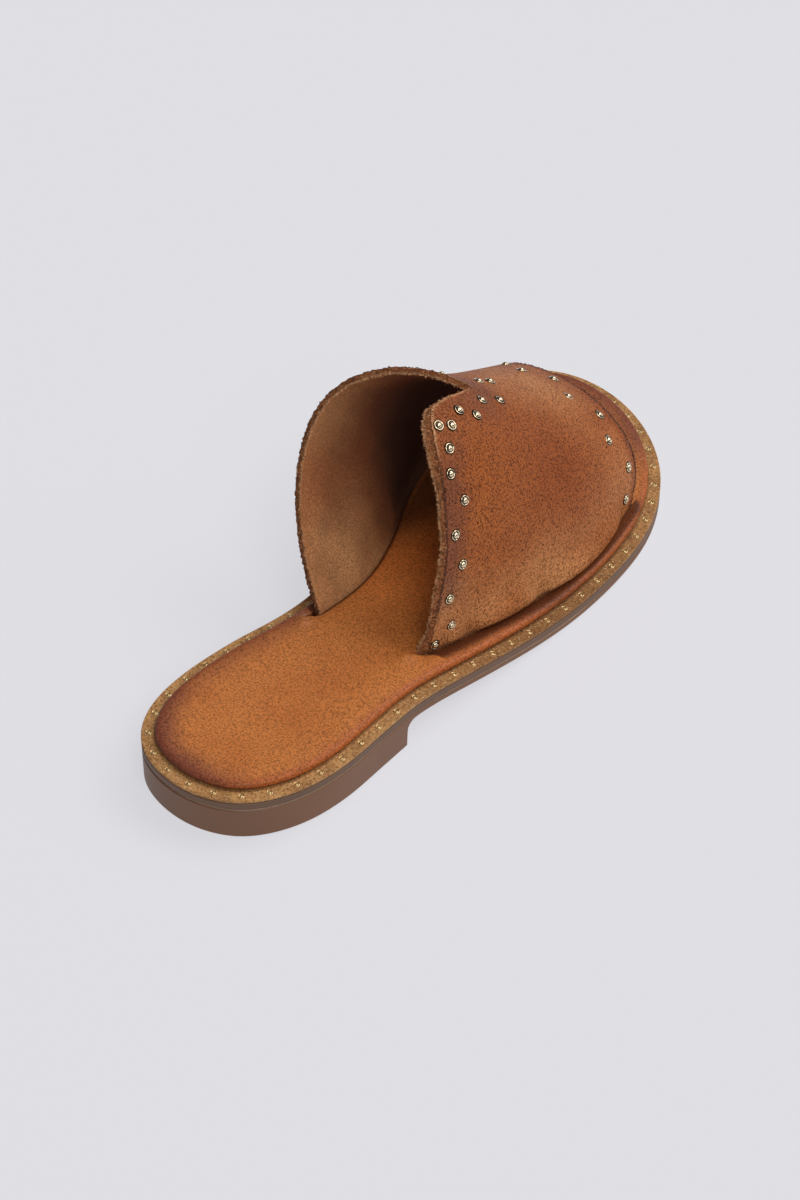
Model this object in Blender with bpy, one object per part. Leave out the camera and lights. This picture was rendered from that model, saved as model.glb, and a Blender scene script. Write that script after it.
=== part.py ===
"""A right-foot leather slide sandal: a studded wrap-over upper on a stacked low-heeled sole.

Every size is in millimetres until a mesh is written, which is in metres.
The toe points along +Y, the outer (lateral) side is +X, and the floor is z = 0.
Heights along the shoe are functions of y, measured from the back of the heel.
"""
import math

import bpy
import numpy as np
from mathutils import Matrix, Vector

MM = 0.001
GAP = 0.3                  # air between two pieces that touch
SHARP_ANGLE = 35.0         # edges steeper than this stay crisp, in degrees

# Sole heights, taken at the top face of the welt
SOLE_LENGTH = 251.2
HEEL_HEIGHT = 17.1
FOREPART_HEIGHT = 6.8
WAIST_START = 64.0         # the waist falls from the heel seat here
WAIST_END = 157.0          # and reaches the level forepart here
TOE_SPRING = 4.0           # lift of the toe tip off the floor
SPRING_START = 200.0

# Layers of the sole
WELT_THICK = 1.0
WELT_WIDTH = 6.6
WELT_ROUND = 0.25          # worn corner of the welt
MIDSOLE_THICK = 2.9
MIDSOLE_CHAMFER = 0.45
OUTSOLE_THICK = 2.3
OUTSOLE_CHAMFER = 0.6      # upper half of the groove under the midsole
TREAD_CHAMFER = 0.8        # lower edge that meets the floor
BREAST = 70.6              # front face of the heel block
BREAST_SLANT = 0.2         # how far the breast leans from vertical
BREAST_FILLET = 4.0        # hollow corner where the breast runs into the waist
STATION_COUNT = 42         # cross lines from heel to toe on every layer
FILLET_STATIONS = 4

# Insole: a padded board in the well of the welt, with a rolled edge that laps over it
INSOLE_RISE = 3.0
SLOT_CLEARANCE = 0.45      # each side of the upper's tab
SLOT_BACK = 3.0            # slit left open behind the tab
SLOT_FRONT = 1.5           # and before it
SLOT_OVERCUT = 4.0
SLOT_STEPS = 16

INSOLE_EDGE_COLUMNS = ("inset", "rise")
INSOLE_EDGE = (            # rolled edge from the lap to the flat top, rise over the welt
    (4.9, 0.3),
    (4.5, 1.3),
    (5.2, 2.3),
    (6.6, 2.85),
    (9.0, 3.0),
)

SOLE_COLUMNS = ("y", "lateral", "medial")
SOLE_STATIONS = (
    (0.0, -0.3, -0.3),
    (6.0, 19.3, -20.9),
    (14.0, 26.9, -27.7),
    (26.0, 33.0, -31.5),
    (40.0, 36.1, -31.7),
    (60.0, 37.1, -28.5),
    (80.0, 38.3, -23.9),
    (100.0, 41.6, -23.7),
    (120.0, 44.5, -28.9),
    (140.0, 46.9, -35.6),
    (160.0, 48.6, -42.5),
    (180.0, 48.6, -47.2),
    (200.0, 45.9, -49.2),
    (215.0, 40.6, -48.8),
    (230.0, 31.1, -45.8),
    (240.0, 20.0, -40.1),
    (247.0, 7.3, -32.0),
    (251.2, -13.9, -13.9),
)

# Upper: one hide, cut at the throat and the toe, bent over the last and pushed through two slits
UPPER_WALL = 2.2
UPPER_ROWS = 15            # grid lines from the throat edge to the toe edge
COLUMN_STEP = 0.045        # widest grid step across the upper
FLARE_REACH = 18.0         # how far from the throat edge its flare dies out
SLOPE_STEP = 0.002         # step for the surface's slopes

UPPER_COLUMNS = ("y", "slot_medial", "slot_lateral", "crown_x", "crown_z", "lean_medial", "lean_lateral",
                 "rise_medial", "rise_lateral", "shoulder_medial", "shoulder_lateral")
UPPER_SECTIONS = (
    (88.0, -14.5, 25.5, -14.0, 97.0, 30.0, 1.0, 0.45, 0.60, 35.0, 27.0),
    (108.0, -14.5, 30.5, -14.0, 95.0, 30.0, 1.0, 0.45, 0.55, 35.0, 27.0),
    (134.0, -21.0, 35.0, -10.0, 90.5, 25.0, 2.0, 0.45, 0.55, 34.0, 27.0),
    (160.0, -32.0, 39.5, -6.0, 75.5, 12.0, 2.0, 0.45, 0.50, 24.0, 29.0),
    (190.0, -37.5, 38.5, -4.0, 58.0, 6.0, 2.0, 0.45, 0.50, 25.0, 29.0),
    (212.0, -35.5, 34.0, -4.0, 45.0, 4.0, 2.0, 0.45, 0.50, 27.0, 30.0),
    (232.0, -30.0, 28.0, -4.0, 35.0, 3.0, 2.0, 0.45, 0.50, 24.0, 26.0),
)

# Cut edges of the upper: around runs from -1 at the medial slit over 0 at the crown to 1 at the lateral slit
NOTCH_APEX = 0.09
NOTCH_CORNER = 0.16
CUT_COLUMNS = ("around", "throat_y", "toe_y", "flare")
CUT_EDGES = (
    (-1.0, 88.0, 203.0, 0.0),
    (-0.85, 95.0, 207.0, 0.0),
    (-0.7, 103.0, 209.3, 0.0),
    (-0.5, 115.0, 211.0, 0.0),
    (-0.35, 124.5, 211.8, 0.3),
    (-0.22, 135.0, 212.2, 0.8),
    (-0.12, 143.0, 212.4, 2.0),
    (0.0, 150.0, 212.5, 2.5),
    (NOTCH_APEX, 155.5, 212.3, 1.5),
    (NOTCH_CORNER, 131.0, 212.1, -1.0),
    (0.22, 126.0, 211.8, -0.6),
    (0.35, 119.5, 211.2, 0.0),
    (0.5, 113.5, 210.8, 0.0),
    (0.65, 106.5, 210.4, 0.0),
    (0.82, 101.0, 208.3, 0.0),
    (1.0, 95.5, 203.5, 0.0),
)

# Studs
STUD_RADIUS = 1.65
STUD_SIDES = 10
STUD_PROFILE_COLUMNS = ("radius", "height")
STUD_PROFILE = (           # from the rim's foot to the shoulder of the dome
    (STUD_RADIUS, 0.0),
    (STUD_RADIUS, 0.25),
    (1.1, 0.85),
)
STUD_HEIGHT = 1.15
EDGE_SAMPLES = 2001        # points used to measure along a cut edge
INSET_STEPS = 4            # steps when walking in from a cut edge

# Places of studs: along a cut edge from its lateral slit, and inset from that edge
STUD_COLUMNS = ("along", "inset")
LATERAL_THROAT_STUDS = (
    (2.8, 2.2),
    (8.9, 8.1),
    (20.3, 5.0),
    (31.6, 9.8),
    (43.7, 6.0),
    (55.3, 9.3),
    (64.1, 4.2),
    (72.9, 5.4),
    (81.5, 2.8),
)
TOE_STUDS = (
    (4.3, 8.0),
    (17.2, 6.3),
    (30.5, 12.5),
    (38.1, 7.0),
    (47.9, 14.5),
    (58.7, 6.8),
    (67.8, 14.0),
    (78.5, 7.0),
    (88.0, 13.5),
    (97.0, 7.0),
    (106.0, 12.0),
    (115.5, 7.5),
)
# The medial throat repeats one rule: an even pitch with two alternating insets, from the medial slit
MEDIAL_STUD_COUNT = 12
MEDIAL_STUD_START = 6.0
MEDIAL_STUD_PITCH = 10.3
MEDIAL_STUD_INSETS = (5.0, 9.3)
# Studs around the notch sit in pairs, given on the upper's own grid
NOTCH_COLUMNS = ("around", "y")
NOTCH_STUDS = (
    (0.278, 131.0),
    (0.218, 138.6),
    (0.247, 144.3),
    (0.155, 153.8),
    (0.156, 162.5),
    (0.012, 166.2),
    (0.016, 171.6),
)


def table(columns, rows):
    """Give each named column of a short table as one array."""
    return dict(zip(columns, np.array(rows, float).T))


SOLE = table(SOLE_COLUMNS, SOLE_STATIONS)
SECTIONS = table(UPPER_COLUMNS, UPPER_SECTIONS)
CUTS = table(CUT_COLUMNS, CUT_EDGES)


def unit(vectors):
    """Scale each row to length one."""
    return vectors / np.linalg.norm(vectors, axis=-1, keepdims=True)


def smooth_curve(knots, values, x):
    """Read a smooth curve through a table's points, straight beyond its ends."""
    x = np.asarray(x, float)
    slopes = np.gradient(values, knots)
    i = np.clip(np.searchsorted(knots, x, side="right") - 1, 0, len(knots) - 2)
    span = knots[i + 1] - knots[i]
    free = (x - knots[i]) / span
    t = np.clip(free, 0.0, 1.0)
    inside = (values[i] * (1 + 2 * t) * (1 - t) ** 2 + slopes[i] * span * t * (1 - t) ** 2
              + values[i + 1] * t * t * (3 - 2 * t) + slopes[i + 1] * span * t * t * (t - 1))
    return inside + span * (np.minimum(free, 0.0) * slopes[i] + np.maximum(free - 1.0, 0.0) * slopes[i + 1])


# Sole heights


def welt_top(y):
    """Height of the welt's top face: heel seat, falling waist, level forepart, toe spring."""
    y = np.asarray(y, float)
    fall = np.clip((y - WAIST_START) / (WAIST_END - WAIST_START), 0.0, 1.0)
    spring = np.clip((y - SPRING_START) / (SOLE_LENGTH - SPRING_START), 0.0, 1.0)
    level = HEEL_HEIGHT + (FOREPART_HEIGHT - HEEL_HEIGHT) * fall * fall * (3.0 - 2.0 * fall)
    return level + TOE_SPRING * spring ** 2


def midsole_top(y):
    return welt_top(y) - WELT_THICK - GAP


def outsole_top(y):
    return midsole_top(y) - MIDSOLE_THICK - GAP


def insole_top(y):
    return welt_top(y) + INSOLE_RISE


def tread(y):
    """Underside of the outsole: level heel, upright breast, hollow corner, then the thin forepart."""
    y = np.asarray(y, float)
    waist = outsole_top(y) - OUTSOLE_THICK
    into = np.clip((y - BREAST) / BREAST_FILLET, 0.0, 1.0)
    corner = BREAST_FILLET * (1.0 - np.sqrt(1.0 - (1.0 - into) ** 2))
    return np.where(y < BREAST, 0.0, waist - corner)


# Sole outline


def toward_toe(y):
    """Angle from 0 at the heel's back to pi at the toe's tip, so that both ends come out round."""
    return np.arccos(np.clip(1.0 - 2.0 * np.asarray(y, float) / SOLE_LENGTH, -1.0, 1.0))


def sole_stations(extra=()):
    """Places along the sole, close together at its round ends."""
    even = 0.5 * SOLE_LENGTH * (1.0 - np.cos(np.linspace(0.0, math.pi, STATION_COUNT + 1)))
    return np.unique(np.concatenate((even, extra)))


def sole_loop(stations, inset=0.0):
    """Outline of the sole, anticlockwise from the heel's back, moved inward by inset."""
    angle = toward_toe(stations)
    knots = toward_toe(SOLE["y"])
    lateral = np.column_stack((smooth_curve(knots, SOLE["lateral"], angle), stations))
    medial = np.column_stack((smooth_curve(knots, SOLE["medial"], angle), stations))
    loop = np.vstack((lateral, medial[-2:0:-1]))
    ahead = unit(np.roll(loop, -1, axis=0) - loop)
    behind = unit(loop - np.roll(loop, 1, axis=0))
    tangent = unit(ahead + behind)
    return loop + inset * np.column_stack((-tangent[:, 1], tangent[:, 0]))


def level(stations, inset, height, rise=0.0):
    """One ring of a sole layer: the inset outline on a height function."""
    loop = sole_loop(stations, inset)
    return np.column_stack((loop, height(loop[:, 1]) + rise))


def wall_faces(size, start, end):
    """Quads between two rings of the same size, given the index of each ring's first point."""
    faces = []
    for k in range(size):
        after = (k + 1) % size
        faces.append((start + k, start + after, end + after, end + k))
    return faces


def cap_faces(size, start):
    """Faces across one ring, from each lateral point to the medial point of its station."""
    last = size // 2
    faces = [(start, start + 1, start + size - 1)]
    for k in range(1, last - 1):
        faces.append((start + k, start + k + 1, start + size - k - 1, start + size - k))
    faces.append((start + last - 1, start + last, start + last + 1))
    return faces


def stacked_faces(size, count):
    """Faces of a solid made of rings stacked from its bottom to its top."""
    faces = [face[::-1] for face in cap_faces(size, 0)]
    for ring in range(count - 1):
        faces += wall_faces(size, ring * size, (ring + 1) * size)
    return faces + cap_faces(size, (count - 1) * size)


def band_faces(size, count):
    """Faces of a closed band whose rings go once around its own section."""
    faces = []
    for ring in range(count):
        faces += wall_faces(size, ring * size, (ring + 1) % count * size)
    return faces


# Objects


def shoe_centre():
    """Middle of the sole's outline, which becomes the part's origin."""
    loop = sole_loop(sole_stations())
    return np.append((loop.min(axis=0) + loop.max(axis=0)) / 2.0, 0.0)


CENTRE = shoe_centre()


def make_material(name, colour, roughness, metallic=0.0):
    material = bpy.data.materials.new(name)
    material.use_nodes = True
    shader = material.node_tree.nodes["Principled BSDF"]
    shader.inputs["Base Color"].default_value = (*colour, 1.0)
    shader.inputs["Roughness"].default_value = roughness
    shader.inputs["Metallic"].default_value = metallic
    return material


def make_mesh(name, points, faces, material):
    """Write points in millimetres as a smooth-shaded mesh in metres."""
    mesh = bpy.data.meshes.new(name)
    mesh.from_pydata((np.asarray(points) * MM).tolist(), [], faces)
    mesh.materials.append(material)
    mesh.shade_smooth()
    mesh.set_sharp_from_angle(angle=math.radians(SHARP_ANGLE))
    return mesh


def make_object(name, mesh, parent):
    piece = bpy.data.objects.new(name, mesh)
    piece.parent = parent
    bpy.context.scene.collection.objects.link(piece)
    return piece


def make_piece(name, points, faces, material, parent):
    """Add one sub-part whose points are measured from the back of the heel."""
    return make_object(name, make_mesh(name, np.asarray(points) - CENTRE, faces, material), parent)


# Sole pieces


def make_outsole(material, parent):
    """Heel block and thin forepart in one piece, with a breast, a hollow waist and toe spring."""
    swing = np.linspace(0.0, math.pi / 2.0, FILLET_STATIONS + 1)
    fillet = BREAST + BREAST_FILLET * (1.0 - np.cos(swing))
    stations = sole_stations(np.append(fillet, BREAST - BREAST_SLANT))
    ground = tread(sole_loop(stations)[:, 1])
    rings = (
        np.column_stack((sole_loop(stations, TREAD_CHAMFER), ground)),
        np.column_stack((sole_loop(stations), ground + TREAD_CHAMFER)),
        level(stations, 0.0, outsole_top, -OUTSOLE_CHAMFER),
        level(stations, OUTSOLE_CHAMFER, outsole_top),
    )
    return make_piece("outsole", np.vstack(rings), stacked_faces(len(ground), len(rings)), material, parent)


def make_midsole(material, parent):
    stations = sole_stations()
    rings = (
        level(stations, MIDSOLE_CHAMFER, midsole_top, -MIDSOLE_THICK),
        level(stations, 0.0, midsole_top, MIDSOLE_CHAMFER - MIDSOLE_THICK),
        level(stations, 0.0, midsole_top, -WELT_ROUND),
        level(stations, WELT_ROUND, midsole_top),
    )
    return make_piece("midsole", np.vstack(rings), stacked_faces(len(rings[0]), len(rings)), material, parent)


def make_welt(material, parent):
    """Flat strip around the sole's edge, open in the middle where the insole drops in."""
    stations = sole_stations()
    rings = (
        level(stations, WELT_ROUND, welt_top, -WELT_THICK),
        level(stations, 0.0, welt_top, WELT_ROUND - WELT_THICK),
        level(stations, 0.0, welt_top, -WELT_ROUND),
        level(stations, WELT_ROUND, welt_top),
        level(stations, WELT_WIDTH, welt_top),
        level(stations, WELT_WIDTH, welt_top, -WELT_THICK),
    )
    return make_piece("welt", np.vstack(rings), band_faces(len(rings[0]), len(rings)), material, parent)


def slot_line(side, y):
    """Plan of one slit's outer edge, with the direction across it towards the foot."""
    name = "slot_lateral" if side > 0 else "slot_medial"
    x = smooth_curve(SECTIONS["y"], SECTIONS[name], y)
    ahead = smooth_curve(SECTIONS["y"], SECTIONS[name], y + SLOPE_STEP)
    tangent = unit(np.column_stack((ahead - x, np.full_like(x, SLOPE_STEP))))
    across = np.column_stack((-tangent[:, 1], tangent[:, 0])) * side
    return np.column_stack((x, y)), across


def slot_cutter(side, material, parent):
    """Upright curved blade that cuts one slit through the insole."""
    y = np.linspace(throat_y(side) - SLOT_BACK, toe_y(side) + SLOT_FRONT, SLOT_STEPS)
    edge, across = slot_line(side, y)
    near = edge - across * SLOT_CLEARANCE
    far = edge + across * (UPPER_WALL + SLOT_CLEARANCE)
    low = welt_top(y) - SLOT_OVERCUT
    high = insole_top(y) + SLOT_OVERCUT
    corners = [np.column_stack(pair) for pair in ((near, low), (far, low), (far, high), (near, high))]
    points = np.stack(corners, axis=1).reshape(-1, 3)
    order = -side
    faces = [(0, 1, 2, 3)[::order], tuple(range(len(points) - 4, len(points)))[::-order]]
    for step in range(SLOT_STEPS - 1):
        faces += [face[::-order] for face in wall_faces(4, step * 4, (step + 1) * 4)]
    cutter = make_piece("slot_cutter_lateral" if side > 0 else "slot_cutter_medial",
                        points, faces, material, parent)
    cutter.hide_render = True
    cutter.display_type = "WIRE"
    return cutter


def make_insole(material, parent):
    """Padded insole with a rolled edge over the welt and a slit for each end of the upper."""
    stations = sole_stations()
    well = WELT_WIDTH + GAP
    rings = [
        level(stations, well, welt_top, -WELT_THICK),
        level(stations, well, welt_top, GAP),
    ]
    edge = table(INSOLE_EDGE_COLUMNS, INSOLE_EDGE)
    for inset, rise in zip(edge["inset"], edge["rise"]):
        rings.append(level(stations, inset, welt_top, rise))
    faces = stacked_faces(len(rings[0]), len(rings))
    insole = make_piece("insole", np.vstack(rings), faces, material, parent)
    for side in (-1, 1):
        cut = insole.modifiers.new("slit", "BOOLEAN")
        cut.operation = "DIFFERENCE"
        cut.solver = "EXACT"
        cut.object = slot_cutter(side, material, parent)
    return insole


# Upper surface


def throat_y(around):
    """Cut edge at the instep: a long medial flap, the notch's straight side, and the lateral flap."""
    around = np.asarray(around, float)
    apex = list(CUTS["around"]).index(NOTCH_APEX)
    medial = smooth_curve(CUTS["around"][:apex + 1], CUTS["throat_y"][:apex + 1], around)
    lateral = smooth_curve(CUTS["around"][apex + 1:], CUTS["throat_y"][apex + 1:], around)
    notch = np.interp(around, CUTS["around"], CUTS["throat_y"])
    return np.where(around <= NOTCH_APEX, medial, np.where(around < NOTCH_CORNER, notch, lateral))


def toe_y(around):
    return smooth_curve(CUTS["around"], CUTS["toe_y"], around)


def upper_point(around, y):
    """Outer face of the upper: in each cross section two curves rise from the slits to the crown."""
    around, y = np.broadcast_arrays(np.asarray(around, float), np.asarray(y, float))
    side = np.where(around >= 0.0, 1.0, -1.0)

    def section(name):
        return smooth_curve(SECTIONS["y"], SECTIONS[name], y)

    def on_side(name):
        return np.where(side > 0.0, section(name + "_lateral"), section(name + "_medial"))

    foot_x, foot_z = on_side("slot"), insole_top(y)
    crown_x, crown_z = section("crown_x"), section("crown_z")
    lean_x = foot_x + side * on_side("lean")
    lean_z = foot_z + on_side("rise") * (crown_z - foot_z)
    shoulder_x = crown_x + side * on_side("shoulder")
    t = 1.0 - np.abs(around)
    foot, lean, shoulder, crown = (1 - t) ** 3, 3 * t * (1 - t) ** 2, 3 * t * t * (1 - t), t ** 3
    near_edge = np.clip(1.0 - (y - throat_y(around)) / FLARE_REACH, 0.0, 1.0) ** 2
    flare = np.interp(around, CUTS["around"], CUTS["flare"]) * near_edge
    x = foot * foot_x + lean * lean_x + shoulder * shoulder_x + crown * crown_x
    z = foot * foot_z + lean * lean_z + (shoulder + crown) * crown_z + flare
    return np.stack((x, y, z), axis=-1)


def upper_slopes(around, y):
    """Directions of the upper's face across the shoe and along it."""
    step = SLOPE_STEP
    low, high = np.maximum(around - step, -1.0), np.minimum(around + step, 1.0)
    across = (upper_point(high, y) - upper_point(low, y)) / (high - low)[..., None]
    along = (upper_point(around, y + step) - upper_point(around, y - step)) / (2.0 * step)
    return across, along


def upper_normal(around, y):
    across, along = upper_slopes(around, y)
    return unit(np.cross(across, along))


def upper_columns():
    """Grid lines across the upper, through every row of the cut table."""
    columns = []
    for start, end in zip(CUTS["around"][:-1], CUTS["around"][1:]):
        count = math.ceil((end - start) / COLUMN_STEP)
        columns += list(np.linspace(start, end, count, endpoint=False))
    return np.array(columns + [CUTS["around"][-1]])


def make_upper(material, parent):
    """Hollow hide of one thickness, open at throat and toe, with a tab down through each slit."""
    around, share = np.meshgrid(upper_columns(), np.linspace(0.0, 1.0, UPPER_ROWS), indexing="ij")
    y = throat_y(around) + (toe_y(around) - throat_y(around)) * share
    outer = upper_point(around, y)
    inward = -upper_normal(around, y)
    for side, column in ((-1, 0), (1, -1)):
        plan, across = slot_line(side, y[column])
        inward[column] = np.column_stack((across, np.zeros(UPPER_ROWS)))
    inner = outer + UPPER_WALL * inward
    tabs = []
    for face in (outer, inner):
        for column in (0, -1):
            tab = face[column].copy()
            tab[:, 2] = welt_top(y[column]) - WELT_THICK
            tabs.append(tab)
    outer = np.concatenate((tabs[0][None], outer, tabs[1][None]))
    inner = np.concatenate((tabs[2][None], inner, tabs[3][None]))
    columns, rows = outer.shape[:2]
    index = np.arange(columns * rows).reshape(columns, rows)
    back = index + columns * rows
    faces = []
    for i in range(columns - 1):
        for j in range(rows - 1):
            quad = (index[i, j], index[i + 1, j], index[i + 1, j + 1], index[i, j + 1])
            faces.append(quad)
            faces.append(tuple(columns * rows + k for k in quad[::-1]))
    rim = list(index[:, 0]) + list(index[-1, 1:]) + list(index[-2::-1, -1]) + list(index[0, -2:0:-1])
    rim_back = list(back[:, 0]) + list(back[-1, 1:]) + list(back[-2::-1, -1]) + list(back[0, -2:0:-1])
    for k in range(len(rim)):
        after = (k + 1) % len(rim)
        faces.append((rim[after], rim[k], rim_back[k], rim_back[after]))
    faces = [tuple(int(k) for k in face) for face in faces]
    points = np.concatenate((outer.reshape(-1, 3), inner.reshape(-1, 3)))
    return make_piece("upper", points, faces, material, parent)


# Studs


def stud_mesh(material):
    """A domed stud on its own axis: rim, shoulder and crown."""
    profile = table(STUD_PROFILE_COLUMNS, STUD_PROFILE)
    turn = np.linspace(0.0, 2.0 * math.pi, STUD_SIDES, endpoint=False)
    rings = []
    for radius, height in zip(profile["radius"], profile["height"]):
        level_z = np.full_like(turn, height)
        rings.append(np.column_stack((radius * np.cos(turn), radius * np.sin(turn), level_z)))
    points = np.vstack(rings + [(0.0, 0.0, STUD_HEIGHT)])
    tip = len(points) - 1
    last = tip - STUD_SIDES
    faces = [tuple(range(STUD_SIDES))[::-1]]
    for ring in range(len(rings) - 1):
        faces += wall_faces(STUD_SIDES, ring * STUD_SIDES, (ring + 1) * STUD_SIDES)
    for k in range(STUD_SIDES):
        faces.append((last + k, last + (k + 1) % STUD_SIDES, tip))
    return make_mesh("stud", points, faces, material)


def edge_walk(edge_y, from_side, along, inset):
    """Place on the upper's face: along a cut edge from one slit, then inward over the face."""
    around = np.linspace(from_side, -from_side, EDGE_SAMPLES)
    edge = upper_point(around, edge_y(around))
    length = np.concatenate(((0.0,), np.cumsum(np.linalg.norm(np.diff(edge, axis=0), axis=1))))
    u = np.interp(along, length, around)
    y = edge_y(u)
    step = SLOPE_STEP * from_side
    edge_run = upper_point(u - step, edge_y(u - step)) - upper_point(u + step, edge_y(u + step))
    if edge_y is toe_y:
        edge_run = -edge_run
    for _ in range(INSET_STEPS):
        across, forward = upper_slopes(u, y)
        inward = unit(np.cross(unit(np.cross(across, forward)), edge_run)) * -from_side
        move = np.linalg.lstsq(np.column_stack((across, forward)), inward, rcond=None)[0]
        u = u + move[0] * inset / INSET_STEPS
        y = y + move[1] * inset / INSET_STEPS
    return u, y


def stud_places():
    """Name and place of every stud, on the upper's own grid."""
    lateral = table(STUD_COLUMNS, LATERAL_THROAT_STUDS)
    notch = table(NOTCH_COLUMNS, NOTCH_STUDS)
    front = table(STUD_COLUMNS, TOE_STUDS)
    throat = [edge_walk(throat_y, 1.0, *place) for place in zip(lateral["along"], lateral["inset"])]
    throat += list(zip(notch["around"], notch["y"]))
    for k in range(MEDIAL_STUD_COUNT):
        inset = MEDIAL_STUD_INSETS[k % len(MEDIAL_STUD_INSETS)]
        throat.append(edge_walk(throat_y, -1.0, MEDIAL_STUD_START + k * MEDIAL_STUD_PITCH, inset))
    toe = [edge_walk(toe_y, 1.0, *place) for place in zip(front["along"], front["inset"])]
    for row, places in (("throat", throat), ("toe", toe)):
        for number, (around, y) in enumerate(places, start=1):
            yield f"stud_{row}_{number:02d}", np.float64(around), np.float64(y)


def make_studs(material, parent):
    """Set every stud upright on the upper's face, clear of it by the fit gap."""
    mesh = stud_mesh(material)
    for name, around, y in stud_places():
        normal = upper_normal(around, y)
        place = (upper_point(around, y) + GAP * normal - CENTRE) * MM
        stud = make_object(name, mesh, parent)
        turn = Vector(normal).to_track_quat("Z", "Y").to_matrix().to_4x4()
        stud.matrix_world = Matrix.Translation(place) @ turn


def main():
    for old in list(bpy.data.objects):
        bpy.data.objects.remove(old)
    sandal = bpy.data.objects.new("sandal", None)
    bpy.context.scene.collection.objects.link(sandal)
    tan_leather = make_material("tan_leather", (0.30, 0.13, 0.055), 0.5)
    insole_leather = make_material("insole_leather", (0.38, 0.145, 0.045), 0.45)
    welt_leather = make_material("welt_leather", (0.34, 0.19, 0.085), 0.6)
    midsole_board = make_material("midsole_board", (0.15, 0.10, 0.07), 0.5)
    brown_rubber = make_material("brown_rubber", (0.19, 0.105, 0.06), 0.45)
    pale_brass = make_material("pale_brass", (0.72, 0.58, 0.40), 0.25, 1.0)
    make_outsole(brown_rubber, sandal)
    make_midsole(midsole_board, sandal)
    make_welt(welt_leather, sandal)
    make_insole(insole_leather, sandal)
    make_upper(tan_leather, sandal)
    make_studs(pale_brass, sandal)


main()
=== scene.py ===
# %% [markdown]
# # A studded slide sandal, dressed on its solid frame
#
# The frame is the finished solid model of a right-foot leather slide: outsole, midsole, welt, insole,
# upper and studs, all in metres, standing on z = 0 with the toe along +Y. This lesson gives each piece
# the surface of the real thing. The shapes stay where the frame has them, so every new piece starts from
# a frame piece.

# %% Load the frame
import math

import bpy
import numpy as np
from mathutils import Matrix, Vector, kdtree


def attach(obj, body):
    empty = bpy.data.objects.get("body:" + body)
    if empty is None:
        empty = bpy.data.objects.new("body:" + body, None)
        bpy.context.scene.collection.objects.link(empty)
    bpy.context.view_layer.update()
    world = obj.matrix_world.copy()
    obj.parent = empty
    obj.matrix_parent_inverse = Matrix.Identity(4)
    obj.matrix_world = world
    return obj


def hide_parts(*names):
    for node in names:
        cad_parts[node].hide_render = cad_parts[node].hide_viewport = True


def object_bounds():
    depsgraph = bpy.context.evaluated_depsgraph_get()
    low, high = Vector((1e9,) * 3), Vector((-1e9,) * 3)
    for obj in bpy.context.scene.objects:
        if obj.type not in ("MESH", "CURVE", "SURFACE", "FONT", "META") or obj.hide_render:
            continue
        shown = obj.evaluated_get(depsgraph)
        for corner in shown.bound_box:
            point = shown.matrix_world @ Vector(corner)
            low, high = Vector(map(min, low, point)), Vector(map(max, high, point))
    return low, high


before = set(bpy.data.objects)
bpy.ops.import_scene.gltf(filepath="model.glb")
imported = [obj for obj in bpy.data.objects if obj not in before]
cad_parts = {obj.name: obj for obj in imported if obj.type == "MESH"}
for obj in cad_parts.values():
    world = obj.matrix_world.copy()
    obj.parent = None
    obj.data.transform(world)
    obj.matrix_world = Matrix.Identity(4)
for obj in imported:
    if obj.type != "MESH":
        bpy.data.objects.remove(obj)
CAD_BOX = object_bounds()
MM = 0.001
HEEL_BACK = CAD_BOX[0].y


def in_mm(box):
    """The six numbers of a box, in rounded millimetres."""
    return [round(value / MM, 1) for corner in box for value in corner]


print("frame of", len(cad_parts), "nodes, box", in_mm(CAD_BOX), "mm")

# %% [markdown]
# ## The camera
#
# The photograph looks down on the heel from behind and to the right. A long lens keeps the sole's two
# ends at nearly the same scale. The picture's height is the longer side, so the lens follows from the
# focal length in pixels.

# %% Camera
PHOTO_HEIGHT = 1200
FOCAL_PIXELS = 3054
SENSOR = 36.0
CAMERA_AT = Vector((0.4535, -0.6109, 0.7310))
LOOKS_AT = Vector((-0.0062, -0.0008, 0.0))

bpy.ops.object.select_all(action="DESELECT")
to_camera = (CAMERA_AT - LOOKS_AT).normalized()
bpy.ops.object.camera_add(location=CAMERA_AT, rotation=(-to_camera).to_track_quat("-Z", "Y").to_euler())
camera = bpy.context.object
camera.name = "photo_camera"
camera.data.sensor_width = SENSOR
camera.data.lens = SENSOR * FOCAL_PIXELS / PHOTO_HEIGHT
camera.data.clip_start = 0.05
bpy.context.scene.camera = camera
print("lens", round(camera.data.lens, 1), "mm at", round((CAMERA_AT - LOOKS_AT).length, 3), "m")

# %% [markdown]
# ## Working with nodes
#
# The sky and the finishes are node trees. Four small functions connect two sockets, feed a socket from
# another one or with a plain value, map a value from one range to another, and lay one colour over another.

# %% Node helpers
def join(tree, source, target):
    tree.links.new(source, target)


def feed(tree, socket, value):
    """Connect another socket to this one, or set it to a plain value."""
    if isinstance(value, bpy.types.NodeSocket):
        join(tree, value, socket)
    else:
        socket.default_value = value


def ramp(tree, value, low, high, out_low=0.0, out_high=1.0):
    """Map a value from one range to another with soft ends."""
    made = tree.nodes.new("ShaderNodeMapRange")
    made.interpolation_type = "SMOOTHSTEP"
    ends = {"Value": value, "From Min": low, "From Max": high, "To Min": out_low, "To Max": out_high}
    for name, number in ends.items():
        feed(tree, made.inputs[name], number)
    return made.outputs["Result"]


def mix(tree, factor, under, over, mode="MIX"):
    """Lay one colour over another, as strongly as a factor says."""
    made = tree.nodes.new("ShaderNodeMix")
    made.data_type = "RGBA"
    made.blend_type = mode
    for name, value in {"Factor": factor, "A": under, "B": over}.items():
        feed(tree, made.inputs[name], value)
    return made.outputs["Result"]


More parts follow.
